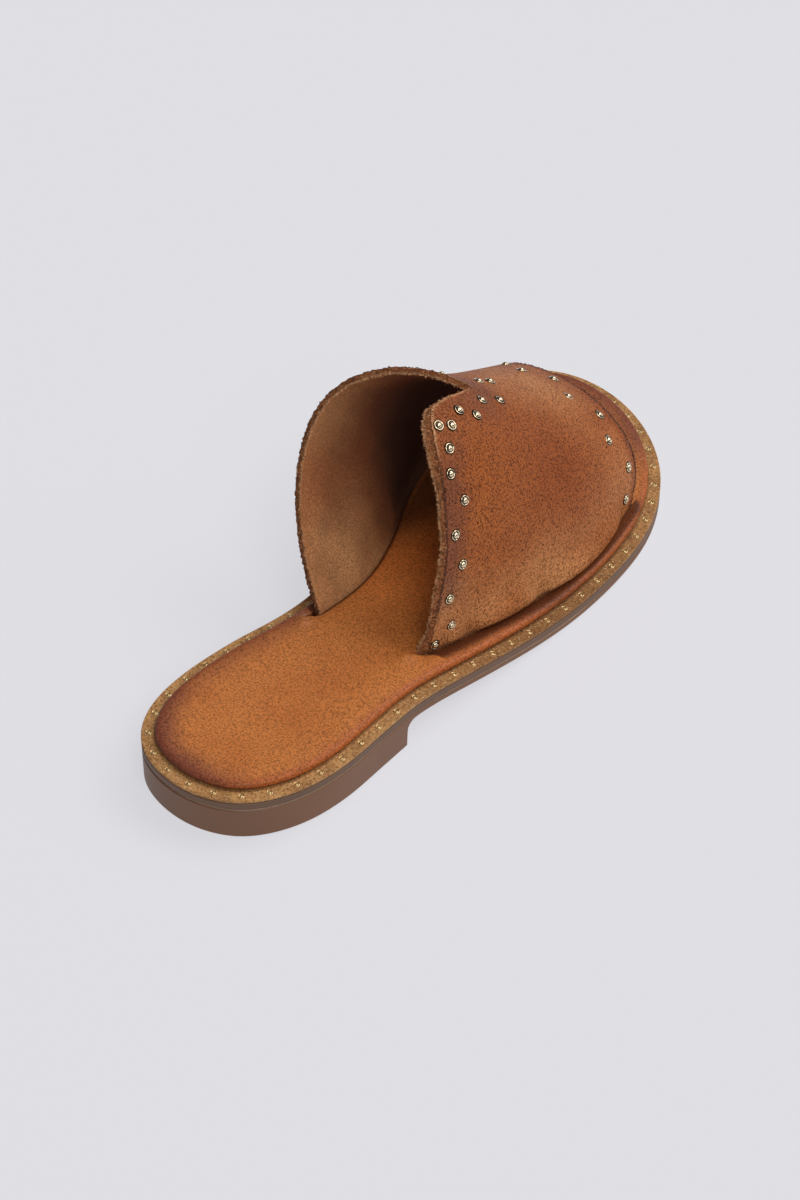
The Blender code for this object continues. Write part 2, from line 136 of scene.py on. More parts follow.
# %% [markdown]
# ## Studio
#
# The shoe stands on a pale sheet that gives most of its light itself and takes only a little from above,
# so almost no shadow shows. One soft box hangs beyond the shoe, over its outer side. A smaller and
# brighter one, to the right of the camera and higher, lights the inside. The rest of the room is dim, and
# darkest around the camera. Polished studs need such contrast, because a metal dome in an even white room
# looks like a flat white disc. Past the sheet's edge the camera sees the sheet's own colour.

# %% Studio floor and sky
BOX_LIGHT = (1.0, 0.985, 0.965, 1.0)
ROOM_LIGHT = (0.024, 0.024, 0.026, 1.0)
CAMERA_DARK = (0.012, 0.012, 0.013, 1.0)
FILL_LIGHT = (1.34, 1.32, 1.29, 1.0)
BACKDROP = (0.222, 0.22, 0.232, 1.0)
SKY_STRENGTH = 3.3
BOX_FROM = Vector((0.36, 0.42, 0.84)).normalized()
BOX_EDGE, BOX_FULL = 0.78, 0.91
FILL_FROM = Vector((0.48, -0.36, 0.80)).normalized()
FILL_EDGE, FILL_FULL = 0.93, 0.97
DARK_EDGE, DARK_FULL = 0.45, 0.70
FLOOR_TAKES = (0.19, 0.188, 0.195, 1.0)
FLOOR_GIVES = (0.578, 0.575, 0.606, 1.0)

bpy.context.scene.view_settings.view_transform = "Standard"
bpy.ops.mesh.primitive_plane_add(size=8.0, location=(0.0, 0.0, 0.0))
floor = bpy.context.object
floor.name = "studio_floor"
paper = bpy.data.materials.new("floor_paper")
paper.use_nodes = True
paper_shader = paper.node_tree.nodes["Principled BSDF"]
paper_shader.inputs["Base Color"].default_value = FLOOR_TAKES
paper_shader.inputs["Emission Color"].default_value = FLOOR_GIVES
paper_shader.inputs["Emission Strength"].default_value = 1.0
paper_shader.inputs["Roughness"].default_value = 0.9
paper_shader.inputs["Specular IOR Level"].default_value = 0.1
floor.data.materials.append(paper)

world = bpy.data.worlds.new("studio_sky")
bpy.context.scene.world = world
world.use_nodes = True
sky = world.node_tree
backdrop = sky.nodes["Background"]
backdrop.inputs["Strength"].default_value = SKY_STRENGTH
gaze = sky.nodes.new("ShaderNodeTexCoord").outputs["Generated"]


def sky_patch(under, toward, edge, full, colour):
    """Lay a soft round patch of light over the sky, around one direction."""
    facing = sky.nodes.new("ShaderNodeVectorMath")
    facing.operation = "DOT_PRODUCT"
    facing.inputs[1].default_value = toward
    join(sky, gaze, facing.inputs[0])
    return mix(sky, ramp(sky, facing.outputs["Value"], edge, full), under, colour)


lit = sky_patch(ROOM_LIGHT, BOX_FROM, BOX_EDGE, BOX_FULL, BOX_LIGHT)
lit = sky_patch(lit, to_camera, DARK_EDGE, DARK_FULL, CAMERA_DARK)
lit = sky_patch(lit, FILL_FROM, FILL_EDGE, FILL_FULL, FILL_LIGHT)
seen_directly = sky.nodes.new("ShaderNodeLightPath").outputs["Is Camera Ray"]
join(sky, mix(sky, seen_directly, lit, BACKDROP), backdrop.inputs["Color"])
print("studio: one glowing floor, two soft boxes, dark around the camera")

# %% [markdown]
# ## Starting from a frame piece
#
# A frame piece is a closed shell of loose triangles, exact in shape but coarse. A copy is welded, its
# triangles are paired back into quads, its hard edges get a full crease, and a Subdivision Surface then
# rounds the long curves and keeps the corners. That is quicker and truer than drawing each outline again.

# %% Copy, select and smooth
WELD = 0.01 * MM


def only(piece):
    """Make one object the only selected one, and the active one."""
    bpy.ops.object.select_all(action="DESELECT")
    piece.select_set(True)
    bpy.context.view_layer.objects.active = piece


def edit(mode="FACE"):
    """Go into edit mode with nothing selected."""
    bpy.ops.object.mode_set(mode="EDIT")
    bpy.ops.mesh.select_mode(type=mode)
    bpy.ops.mesh.select_all(action="DESELECT")


def leave_edit():
    bpy.ops.object.mode_set(mode="OBJECT")


def copy_of_node(node, name):
    """A welded copy of a frame piece, with its quads restored."""
    piece = bpy.data.objects.new(name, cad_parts[node].data.copy())
    piece.data.name = name
    piece.data.materials.clear()
    bpy.context.scene.collection.objects.link(piece)
    only(piece)
    bpy.ops.mesh.customdata_custom_splitnormals_clear()
    edit()
    bpy.ops.mesh.select_all(action="SELECT")
    bpy.ops.mesh.remove_doubles(threshold=WELD)
    bpy.ops.mesh.tris_convert_to_quads(face_threshold=math.pi, shape_threshold=math.pi)
    leave_edit()
    return piece


def pick(piece, kind, test):
    """Select the points, edges or faces that pass a test, and stay in edit mode."""
    edit(kind)
    leave_edit()
    mesh = piece.data
    for part in {"VERT": mesh.vertices, "EDGE": mesh.edges, "FACE": mesh.polygons}[kind]:
        part.select = test(part)
    bpy.ops.object.mode_set(mode="EDIT")


def crease_sharp(angle, amount):
    """Crease every edge that folds by more than an angle, in degrees."""
    edit("EDGE")
    bpy.ops.mesh.edges_select_sharp(sharpness=math.radians(angle))
    bpy.ops.transform.edge_crease(value=amount)
    leave_edit()


def apply_modifier(piece, kind, **settings):
    """Give a piece a modifier with some settings, and apply it."""
    only(piece)
    made = piece.modifiers.new(kind, kind)
    for name, value in settings.items():
        setattr(made, name, value)
    bpy.ops.object.modifier_apply(modifier=made.name)


def subdivide(piece, levels):
    apply_modifier(piece, "SUBSURF", levels=levels, render_levels=levels)


def shade(piece, angle=40.0):
    only(piece)
    bpy.ops.object.shade_smooth_by_angle(angle=math.radians(angle))


def points_of(piece, value="co"):
    """The places of all points of a mesh as one array, or another vector that they have."""
    flat = np.empty(len(piece.data.vertices) * 3)
    piece.data.vertices.foreach_get(value, flat)
    return flat.reshape(-1, 3)


def set_points(piece, points):
    piece.data.vertices.foreach_set("co", points.ravel())
    piece.data.update()


def store(piece, name, values):
    """Keep one number for each point, which a material can read as an attribute."""
    layer = piece.data.attributes.new(name, "FLOAT", "POINT")
    layer.data.foreach_set("value", np.asarray(values, np.float32))


def put_on(piece, slot, *nodes):
    """Tie a finished piece to the shoe's one body, in place of the frame pieces that it stands for."""
    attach(piece, "root")
    if nodes:
        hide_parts(*nodes)
    print(piece.name, "has", len(piece.data.polygons), "faces")


# %% [markdown]
# ## Outsole, midsole and welt
#
# These three are cut from sheet and trimmed together, so their edges lie flush and only thin grooves part
# them. Their frame pieces already have those grooves and chamfers, so each needs nothing but a smooth
# outline.

# %% Outsole, midsole and welt
def smooth_layer(node, name):
    piece = copy_of_node(node, name)
    crease_sharp(20.0, 1.0)
    subdivide(piece, 2)
    shade(piece, 30.0)
    return piece


outsole = smooth_layer("outsole", "outsole_block")
midsole = smooth_layer("midsole", "midsole_band")
welt = smooth_layer("welt", "welt_strip")

# %% [markdown]
# ## Heights and outline of the sole
#
# The foot bed falls from the heel seat through the waist to a level forepart, and the toe lifts a little.
# Pieces that lie on the sole need that height at any place, and they need the sole's outline, which is
# read from the welt.

# %% Heights and outline
HEEL_HEIGHT = 17.1 * MM
FOREPART_HEIGHT = 6.8 * MM
WAIST_START, WAIST_END = 64.0 * MM, 157.0 * MM
SPRING_START, SPRING_END = 200.0 * MM, 251.2 * MM
TOE_SPRING = 4.0 * MM
WELT_CORNER, CORNER_SLACK = 0.25 * MM, 0.04 * MM
OUTLINE_STEP = 0.5 * MM


def share_of(value, start, end):
    """How far a value has come from a start to an end, from 0 to 1."""
    return np.clip((value - start) / (end - start), 0.0, 1.0)


def eased(share):
    """A share with a soft start and a soft end."""
    return share * share * (3.0 - 2.0 * share)


def seat(y):
    """Height of the welt's top face at a place along the shoe."""
    along = np.asarray(y, float) - HEEL_BACK
    fall = eased(share_of(along, WAIST_START, WAIST_END))
    spring = share_of(along, SPRING_START, SPRING_END)
    return HEEL_HEIGHT + (FOREPART_HEIGHT - HEEL_HEIGHT) * fall + TOE_SPRING * spring ** 2


def walk(line):
    """A closed line with its first point again at the end, and the length up to each point."""
    closed = np.vstack((line, line[:1]))
    return closed, np.append(0.0, np.cumsum(np.linalg.norm(np.diff(closed, axis=0), axis=1)))


def places_at(closed, length, steps):
    """Places at given lengths along a closed line."""
    return np.column_stack([np.interp(steps, length, closed[:, k]) for k in (0, 1)])


def sole_outline():
    """Closed outline of the sole in plan, at even steps, anticlockwise from above."""
    points = points_of(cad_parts["welt"])
    below = seat(points[:, 1]) - points[:, 2]
    rim = np.unique(points[np.abs(below - WELT_CORNER) < CORNER_SLACK].round(6), axis=0)[:, :2]
    closed, length = walk(rim[np.argsort(np.arctan2(rim[:, 1], rim[:, 0]))])
    return places_at(closed, length, np.arange(0.0, length[-1], OUTLINE_STEP))


def nearest_distance(points, targets):
    """Distance of each point from the nearest of some targets."""
    tree = kdtree.KDTree(len(targets))
    for index, place in enumerate(targets):
        tree.insert(place, index)
    tree.balance()
    return np.array([tree.find(place)[2] for place in points])


def in_plan(points):
    """Points dropped to z = 0."""
    return np.column_stack((points[:, :2], np.zeros(len(points))))


def inset_of(points):
    """Distance of each point from the sole's outline, in plan."""
    return nearest_distance(in_plan(points), in_plan(OUTLINE))


OUTLINE = sole_outline()
for layer, node in ((outsole, "outsole"), (midsole, "midsole"), (welt, "welt")):
    layer_points = points_of(layer)
    store(layer, "below", seat(layer_points[:, 1]) - layer_points[:, 2])
    store(layer, "inset", inset_of(layer_points))
    put_on(layer, node, node)
print("sole outline", round(len(OUTLINE) * OUTLINE_STEP / MM), "mm long")

# %% [markdown]
# ## Ring nails of the welt
#
# Small ring-headed nails run around the welt at an even pitch. One is modelled from a torus with a low
# button inside it, flattened so that it sits deep, and a copy is set at each step along a line in the
# middle of the strip.

# %% Ring nails
NAIL_PITCH = 9.2 * MM
NAIL_START = 7.0 * MM
NAIL_INSET = 2.5 * MM
NAIL_RADIUS = 0.92 * MM
NAIL_WIRE = 0.19 * MM
NAIL_BUTTON, BUTTON_FLATNESS = 0.5 * MM, 0.3
NAIL_SINK = 0.03 * MM


def inset_line(distance):
    """The sole's outline moved inward, with its own spacing."""
    ahead = np.roll(OUTLINE, -4, axis=0) - np.roll(OUTLINE, 4, axis=0)
    ahead /= np.linalg.norm(ahead, axis=1)[:, None]
    return OUTLINE + distance * np.column_stack((-ahead[:, 1], ahead[:, 0]))


def even_places(line, pitch, start):
    """Places along a closed line, as near to a pitch as divides it evenly."""
    closed, length = walk(line)
    steps = start + np.linspace(0.0, length[-1], round(length[-1] / pitch), endpoint=False)
    return places_at(closed, length, steps % length[-1])


def copies_at(piece, name, places):
    """Copies of one modelled piece at many places, each with its own mesh, joined into one."""
    made = []
    for place in places:
        copy = bpy.data.objects.new(name, piece.data.copy())
        copy.data.transform(place)
        bpy.context.scene.collection.objects.link(copy)
        made.append(copy)
    bpy.data.objects.remove(piece)
    bpy.ops.object.select_all(action="DESELECT")
    for copy in made:
        copy.select_set(True)
    bpy.context.view_layer.objects.active = made[0]
    bpy.ops.object.join()
    made[0].name = name
    return made[0]


bpy.ops.object.select_all(action="DESELECT")
bpy.ops.mesh.primitive_torus_add(major_radius=NAIL_RADIUS, minor_radius=NAIL_WIRE, major_segments=18,
                                 minor_segments=8)
nail = bpy.context.object
edit("VERT")
bpy.ops.mesh.primitive_uv_sphere_add(segments=12, ring_count=8, radius=NAIL_BUTTON)
bpy.ops.transform.resize(value=(1.0, 1.0, BUTTON_FLATNESS), center_override=(0.0, 0.0, 0.0))
leave_edit()
nail_places = []
for x, y in even_places(inset_line(NAIL_INSET), NAIL_PITCH, NAIL_START):
    slope = float(seat(y + MM) - seat(y - MM)) / (2.0 * MM)
    turn = Matrix.Rotation(math.atan(slope), 4, "X")
    nail_places.append(Matrix.Translation((x, y, float(seat(y)) - NAIL_SINK)) @ turn)
nails = copies_at(nail, "welt_nails", nail_places)
shade(nails)
put_on(nails, "stud")
print(len(nail_places), "ring nails")

# %% [markdown]
# ## Insole
#
# The foot bed is a padded board wrapped in leather, so its rim rolls over and tucks under. It could be
# carved from a box, but the outline is what matters: a copy of the midsole's top face is flattened, inset
# to the foot bed's edge, and inset again and again with a small rise each time to roll the rim. The flat
# work is then dropped onto the sole's heights, which keeps every ring of the roll even.

# %% Insole pad
BED_INSET = 4.3 * MM
RIM_HEIGHT = 1.15 * MM
ROLL = ((0.05, 0.6), (0.15, 0.6), (0.4, 0.45), (0.75, 0.3), (1.3, 0.2), (2.3, 0.1), (4.0, 0.03), (5.0, 0.0))
TUCK = ((0.5, 0.9955), (0.45, 0.988))
CROSS_CUTS = 9
LONG_EDGE = 25.0 * MM
TOP_FACING = 0.9


def edge_length(piece, edge):
    start, end = (piece.data.vertices[index].co for index in edge.vertices)
    return (start - end).length


insole = copy_of_node("midsole", "insole_pad")
pick(insole, "FACE", lambda face: face.normal.z < TOP_FACING)
bpy.ops.mesh.delete(type="FACE")
bpy.ops.mesh.select_all(action="SELECT")
bpy.ops.transform.resize(value=(1.0, 1.0, 0.0), center_override=(0.0, 0.0, 0.0))
bpy.ops.mesh.inset(thickness=BED_INSET, depth=0.0)
bpy.ops.mesh.select_all(action="INVERT")
bpy.ops.mesh.delete(type="FACE")
bpy.ops.mesh.select_all(action="SELECT")
bpy.ops.transform.translate(value=(0.0, 0.0, RIM_HEIGHT))
for width, rise in ROLL:
    bpy.ops.mesh.inset(thickness=width * MM, depth=rise * MM)
leave_edit()
edit("EDGE")
bpy.ops.mesh.select_non_manifold()
for drop, shrink in TUCK:
    bpy.ops.mesh.extrude_edges_move(TRANSFORM_OT_translate={"value": (0.0, 0.0, -drop * MM)})
    bpy.ops.transform.resize(value=(shrink, 0.5 + 0.5 * shrink, 1.0), center_override=(0.0, 0.0, 0.0))
leave_edit()
pick(insole, "EDGE", lambda edge: edge_length(insole, edge) > LONG_EDGE)
bpy.ops.mesh.subdivide(number_cuts=CROSS_CUTS)
leave_edit()
subdivide(insole, 2)
edit("EDGE")
bpy.ops.mesh.select_non_manifold()
bpy.ops.mesh.fill()
bpy.ops.mesh.select_all(action="SELECT")
bpy.ops.mesh.normals_make_consistent(inside=False)
leave_edit()

# %% [markdown]
# The pad gives a little under a foot, so the heel seat and the ball are pressed in by a fraction of a
# millimetre, with soft edges, and the end of the pad under the toes is lifted by about a millimetre. Then
# the pad is dropped onto the sole.

# %% Drop the pad on the sole
HOLLOWS = (                 # x, y from the heel's back, half width, half length, depth
    (2.0, 38.0, 22.0, 34.0, 0.7),
    (2.0, 172.0, 34.0, 40.0, 0.5),
)
PAD_TOP = 2.4 * MM
TOE_LIFT = 1.2 * MM
LIFT_START, LIFT_END = 212.0 * MM, 238.0 * MM


def press_pad(points):
    """Sink soft oval hollows into the top of the pad, and lift it toward the toe."""
    top = share_of(points[:, 2], RIM_HEIGHT, PAD_TOP)
    for x, y, wide, long, depth in HOLLOWS:
        across = (points[:, 0] - x * MM) / (wide * MM)
        along = (points[:, 1] - HEEL_BACK - y * MM) / (long * MM)
        points[:, 2] -= depth * MM * top * np.exp(-(across ** 2 + along ** 2))
    points[:, 2] += TOE_LIFT * top * eased(share_of(points[:, 1] - HEEL_BACK, LIFT_START, LIFT_END))
    return points


flat = press_pad(points_of(insole))
flat[:, 2] += seat(flat[:, 1])
set_points(insole, flat)
pad_height = round(float(flat[:, 2].max()) / MM, 1)
print("insole pad", len(insole.data.polygons), "faces, top at", pad_height, "mm")

# %% [markdown]
# ## Slits for the upper
#
# Both ends of the upper go down through a slit in the pad. The frame's upper shows where: its lowest
# points lie in the slits. A thin curved blade along each line cuts the pad with a Boolean, and the
# leather puckers where a slit ends.

# %% Cut the slits
SLIT_WIDTH = 2.5 * MM
SLIT_BEHIND, SLIT_BEFORE = 6.0 * MM, 0.8 * MM
SLIT_TAPER, SLIT_TIP = 5.0 * MM, 0.15      # the tip is a share of the width
BLADE_DEPTH = 12.0 * MM
BLADE_STEPS = 48
PUCKER_HEIGHT = 0.8 * MM
PUCKER_REACH = 2.6 * MM
DIVE_DEPTH = 0.9 * MM
DIVE_REACH = 3.4 * MM
SLIT_SHADE_NARROWING = 3.0


def tab_line(side):
    """Middle of one tab of the upper: a smooth x for any y, with the tab's first and last y."""
    points = points_of(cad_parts["upper"])
    low = points[:, 2] < seat(points[:, 1])
    mine = points[low & (points[:, 0] * side > 0.0)]
    curve = np.poly1d(np.polyfit(mine[:, 1], mine[:, 0], 5))
    return curve, mine[:, 1].min(), mine[:, 1].max()


def blade(side):
    """A thin curved wall along one slit."""
    curve, first, last = tab_line(side)
    bpy.ops.object.select_all(action="DESELECT")
    bpy.ops.mesh.primitive_grid_add(x_subdivisions=1, y_subdivisions=BLADE_STEPS, size=1.0)
    wall = bpy.context.object
    wall.name = "slit_blade"
    points = points_of(wall)
    y = first - SLIT_BEHIND + (points[:, 1] + 0.5) * (last - first + SLIT_BEHIND + SLIT_BEFORE)
    set_points(wall, np.column_stack((curve(y), y, seat(y) + points[:, 0] * BLADE_DEPTH)))
    apply_modifier(wall, "SOLIDIFY", thickness=SLIT_WIDTH, offset=0.0)
    points = points_of(wall)
    y = points[:, 1]
    ends = np.minimum(y - (first - SLIT_BEHIND), last + SLIT_BEFORE - y)
    narrow = SLIT_TIP + (1.0 - SLIT_TIP) * share_of(ends, 0.0, SLIT_TAPER)
    points[:, 0] = curve(y) + (points[:, 0] - curve(y)) * narrow
    set_points(wall, points)
    return wall


def slit_distance(points, side):
    """Distance in plan from the middle of one tab of the upper."""
    curve, first, last = tab_line(side)
    y = np.linspace(first, last, 4 * BLADE_STEPS)
    slit = np.column_stack((curve(y), y))
    return np.min(np.linalg.norm(points[:, None, :2] - slit[None], axis=2), axis=1)


def outside_slit(points, side):
    """Distance from a slit, counted three times as far inside and behind it, where the painted shade stays
    narrow.
    """
    curve, first, last = tab_line(side)
    inner = (points[:, 0] - curve(np.clip(points[:, 1], first, last))) * side < 0.0
    return slit_distance(points, side) * np.where(inner | (points[:, 1] < first), SLIT_SHADE_NARROWING, 1.0)


for side in (-1.0, 1.0):
    curve, first, last = tab_line(side)
    bed = points_of(insole)
    end = np.array((float(curve(first - SLIT_BEHIND)), first - SLIT_BEHIND))
    away = np.linalg.norm(bed[:, :2] - end, axis=1)
    top = share_of(bed[:, 2] - seat(bed[:, 1]), RIM_HEIGHT, PAD_TOP)
    dive = DIVE_DEPTH * np.exp(-(slit_distance(bed, side) / DIVE_REACH) ** 2)
    pucker = (PUCKER_HEIGHT + DIVE_DEPTH) * np.exp(-(away / PUCKER_REACH) ** 2)
    bed[:, 2] += top * (pucker - dive)
    set_points(insole, bed)
    cutter = blade(side)
    apply_modifier(insole, "BOOLEAN", operation="DIFFERENCE", solver="EXACT", object=cutter)
    bpy.data.objects.remove(cutter)
shade(insole, 45.0)
bed = points_of(insole)
store(insole, "inset", inset_of(bed))
store(insole, "slit", np.minimum(outside_slit(bed, -1.0), outside_slit(bed, 1.0)))
put_on(insole, "insole", "insole")

# %% [markdown]
# ## Upper
#
# The upper is one thick hide: grain outside, suede inside, and raw at every cut. A copy of the frame's
# wall is sorted into those three surfaces by growing a selection from one face until it meets a hard
# corner, and each surface gets a material slot of its own. A softer crease lets the Subdivision Surface
# ease the cut corners a little.

# %% Upper: three surfaces and a smooth wall
CUT_CORNER = 55.0
CORNER_CREASE = 0.8
OUTLINE_TURN = 35.0
GRAIN, SUEDE, RAW = 0, 1, 2
WALL = 2.2 * MM

upper = copy_of_node("upper", "upper_hide")
for surface in ("hide_grain", "hide_suede", "hide_raw_edge"):
    upper.data.materials.append(bpy.data.materials.new(surface))


def paint_flat(piece, seed, surface):
    """Give a material slot to all faces that run on smoothly from a seed face."""
    pick(piece, "FACE", lambda face: face.index == seed)
    bpy.ops.mesh.faces_select_linked_flat(sharpness=math.radians(CUT_CORNER))
    piece.active_material_index = surface
    bpy.ops.object.material_slot_assign()
    leave_edit()


def crease_turns(piece, turn, amount):
    """Crease the points where the cut outline itself turns a corner."""
    cut = {key for face in piece.data.polygons if face.material_index == RAW for key in face.edge_keys}
    skin = {key for face in piece.data.polygons if face.material_index != RAW for key in face.edge_keys}
    ahead = {}
    for a, b in cut & skin:
        ahead.setdefault(a, []).append(b)
        ahead.setdefault(b, []).append(a)

    def turns(point):
        ends = [piece.data.vertices[index].co for index in ahead.get(point.index, ())]
        return len(ends) == 2 and (point.co - ends[0]).angle(ends[1] - point.co) > math.radians(turn)

    pick(piece, "VERT", turns)
    bpy.ops.transform.vert_crease(value=amount)
    leave_edit()


faces = upper.data.polygons
for face in faces:
    face.material_index = RAW
grain_seed = max(range(len(faces)), key=lambda k: faces[k].center.x)
behind = faces[grain_seed].center - WALL * faces[grain_seed].normal
suede_seed = min(range(len(faces)), key=lambda k: (faces[k].center - behind).length)
paint_flat(upper, grain_seed, GRAIN)
paint_flat(upper, suede_seed, SUEDE)
crease_sharp(CUT_CORNER, CORNER_CREASE)
crease_turns(upper, OUTLINE_TURN, CORNER_CREASE)
subdivide(upper, 2)
count = [sum(face.material_index == k for face in upper.data.polygons) for k in (GRAIN, SUEDE, RAW)]
print("upper faces: grain, suede, raw", count)

# %% [markdown]
# Raw hide is torn as much as cut, so the raw faces are cut finer and pushed about by a small seeded
# noise. Every point also learns how far it is from the throat edge and from the toe edge. The finishes
# use that for their burnished bands, and the shaping below uses it to leave the studded edges where they
# are.

# %% Upper: raw edges and edge distances
RAW_NOISE = 0.17 * MM
EDGE_SEED = 7
TOE_EDGE_Y = 198.0 * MM
PAD_RISE, PAD_SLACK = 3.0 * MM, 0.5 * MM

pick(upper, "FACE", lambda face: face.material_index == RAW)
bpy.ops.mesh.subdivide(number_cuts=1)
leave_edit()


def points_on(surface):
    """Points of the upper that belong to one of its three surfaces, in order."""
    mine = [face for face in upper.data.polygons if face.material_index == surface]
    return sorted({v for face in mine for v in face.vertices})


raw_points, grain_points, suede_points = points_on(RAW), points_on(GRAIN), points_on(SUEDE)
hide = points_of(upper)
jitter = np.random.default_rng(EDGE_SEED).normal(0.0, RAW_NOISE, (len(raw_points), 3))
hide[raw_points] += np.clip(jitter, -2.0 * RAW_NOISE, 2.0 * RAW_NOISE)
showing = [v for v in raw_points if hide[v, 2] > float(seat(hide[v, 1])) + PAD_RISE - PAD_SLACK]
throat_edge = [v for v in showing if hide[v, 1] - HEEL_BACK < TOE_EDGE_Y]
toe_edge = [v for v in showing if hide[v, 1] - HEEL_BACK >= TOE_EDGE_Y]
from_throat = nearest_distance(hide, hide[throat_edge])
from_toe = nearest_distance(hide, hide[toe_edge])
store(upper, "throat", from_throat)
store(upper, "toe", from_toe)
from_grain = nearest_distance(hide, hide[grain_points])
from_suede = nearest_distance(hide, hide[suede_points])
cut_depth = from_grain / (from_grain + from_suede + 0.001 * MM)
store(upper, "cut", cut_depth)
print(len(raw_points), "points on the raw edges")

# %% [markdown]
# The hide isn't a perfect surface. At its foot it is drawn in at a few kinks and swells out over the foot
# bed between them, and broad soft troughs and ridges run over the vamp. All are placed one by one and
# measured in the shoe. Each fades out toward the cut edges, because the studs there must keep sitting on
# the hide. The lateral cut itself was made at a slant, so its suede corner stands out past its grain
# corner, and it is hollowed a little at mid height.

# %% Upper: swells and troughs
AXIS_HEIGHT = 24.0 * MM
KINKS = (94.0, 113.5, 146.7, 195.8, 214.0)          # y from the heel's back
SWELLS = (1.0, 2.2, 2.6, 1.2)
SWELL_HEIGHT = 3.2 * MM
SWELL_SPREAD = 5.5 * MM
SWELL_START, SWELL_ROUND = 1.2 * MM, 0.65
PINCH, PINCH_WIDTH = 1.1, 2.6                       # at each kink, in millimetres
INNER_SHARE = 0.7
EDGE_KEPT, EDGE_FADE = 4.0 * MM, 9.0 * MM
SLANT, CORNER_SLANT, FOOT_SLANT = 0.7 * MM, 1.4 * MM, 3.0 * MM
CORNER_FROM, CORNER_RISE = 54.0 * MM, 12.0 * MM
FOOT_REACH = 5.0 * MM
SLANT_FADE = 5.0 * MM
SLANT_WAY = (-0.5, -0.86, 0.0)
OUTER_FROM, OUTER_FULL = -2.0 * MM, 4.0 * MM
HOLLOW, HOLLOW_AT, HOLLOW_REACH, HOLLOW_FADE = 2.2 * MM, 38.0 * MM, 11.0 * MM, 8.0 * MM
HOLLOW_WAY = (0.17, 0.98, 0.0)
TROUGHS = (                 # x, y from the heel's back, z, reach, height
    (31.0, 158.0, 52.0, 17.0, -0.7),
    (27.0, 132.0, 60.0, 14.0, 0.5),
    (20.0, 188.0, 48.0, 14.0, 0.4),
    (-30.0, 150.0, 50.0, 18.0, -0.6),
    (-34.0, 180.0, 32.0, 14.0, 0.6),
)


def outward(points):
    """Direction away from the middle of the foot, in each cross section."""
    away = points - np.array((0.0, 0.0, AXIS_HEIGHT))
    away[:, 1] = 0.0
    return away / np.linalg.norm(away, axis=1)[:, None]


def foot_swell(points):
    """How far the hide's foot swells out, between one kink and the next."""
    along = (points[:, 1] - HEEL_BACK) / MM
    above = points[:, 2] - seat(points[:, 1]) - PAD_RISE
    low = share_of(above, 0.0, SWELL_START) * np.exp(-((above - SWELL_HEIGHT) / SWELL_SPREAD) ** 2)
    wave = np.zeros(len(points))
    for start, end, height in zip(KINKS, KINKS[1:], SWELLS):
        share = share_of(along, start, end)
        wave += height * MM * np.abs(np.sin(math.pi * share)) ** SWELL_ROUND
        wave -= PINCH * MM * np.exp(-((along - end) / PINCH_WIDTH) ** 2)
    return wave * low * np.where(points[:, 0] > 0.0, 1.0, INNER_SHARE)


def slant_cut(points):
    """Draw the lateral cut's suede corner out past its grain corner, and hollow it at mid height."""
    above = points[:, 2] - seat(points[:, 1]) - PAD_RISE
    far = SLANT + CORNER_SLANT * share_of(above, CORNER_FROM, CORNER_FROM + CORNER_RISE)
    far = far + FOOT_SLANT * np.exp(-(np.maximum(above, 0.0) / FOOT_REACH) ** 2)
    near_edge = share_of(from_throat, SLANT_FADE, 0.0) ** 2
    outer = share_of(points[:, 0], OUTER_FROM, OUTER_FULL)
    back = HOLLOW * np.exp(-((above - HOLLOW_AT) / HOLLOW_REACH) ** 2)
    back = back * outer * share_of(from_throat, HOLLOW_FADE, 0.0) ** 2
    slanted = points + (far * cut_depth * near_edge * outer)[:, None] * np.array(SLANT_WAY)
    return slanted + back[:, None] * np.array(HOLLOW_WAY)


def shape_hide(points):
    """Move the whole wall in and out by the swells and troughs."""
    move = foot_swell(points)
    for x, y, z, reach, height in TROUGHS:
        middle = np.array((x * MM, y * MM + HEEL_BACK, z * MM))
        move += height * MM * np.exp(-(np.linalg.norm(points - middle, axis=1) / (reach * MM)) ** 2)
    move *= share_of(np.minimum(from_throat, from_toe), EDGE_KEPT, EDGE_KEPT + EDGE_FADE)
    return points + move[:, None] * outward(points)


hide = slant_cut(shape_hide(hide))
set_points(upper, hide)
store(upper, "foot", hide[:, 2] - seat(hide[:, 1]) - PAD_RISE)
shade(upper, 60.0)
put_on(upper, "upper", "upper")

# %% [markdown]
# ## Fibres of the raw edge
#
# Fine leather fibres stand out of the cut, most of them at the suede side. Each is a thin tapered
# splinter, far too many to model by hand, so one loop writes them all into one mesh from seeded numbers.

# %% Raw edge fibres
FIBRE_COUNT = 3000
FIBRE_LENGTH = (0.3 * MM, 0.85 * MM)
FIBRE_THICK = 0.065 * MM
FIBRE_SEED = 11
FIBRE_SPREAD, FIBRE_CURL = 0.5, 0.3
FIBRE_SCATTER, FIBRE_ROOT = 0.2 * MM, 0.15 * MM
FIBRE_PROFILE = ((0.0, 1.0), (0.6, 0.7))        # share of the length, share of the thickness


def splinter(draw, root, lean):
    """Points of one three-sided tapered fibre: two rings and a tip."""
    side = np.cross(lean, draw.normal(0.0, 1.0, 3))
    side /= np.linalg.norm(side)
    other = np.cross(lean, side)
    length = draw.uniform(*FIBRE_LENGTH)
    curl = draw.uniform(-FIBRE_CURL, FIBRE_CURL)
    points = []
    for share, thick in FIBRE_PROFILE:
        middle = root + lean * length * share + side * length * curl * share ** 2
        for corner in range(3):
            angle = 2.0 * math.pi * corner / 3.0
            points.append(middle + thick * FIBRE_THICK * (math.cos(angle) * side + math.sin(angle) * other))
    points.append(root + lean * length + side * length * curl)
    return points


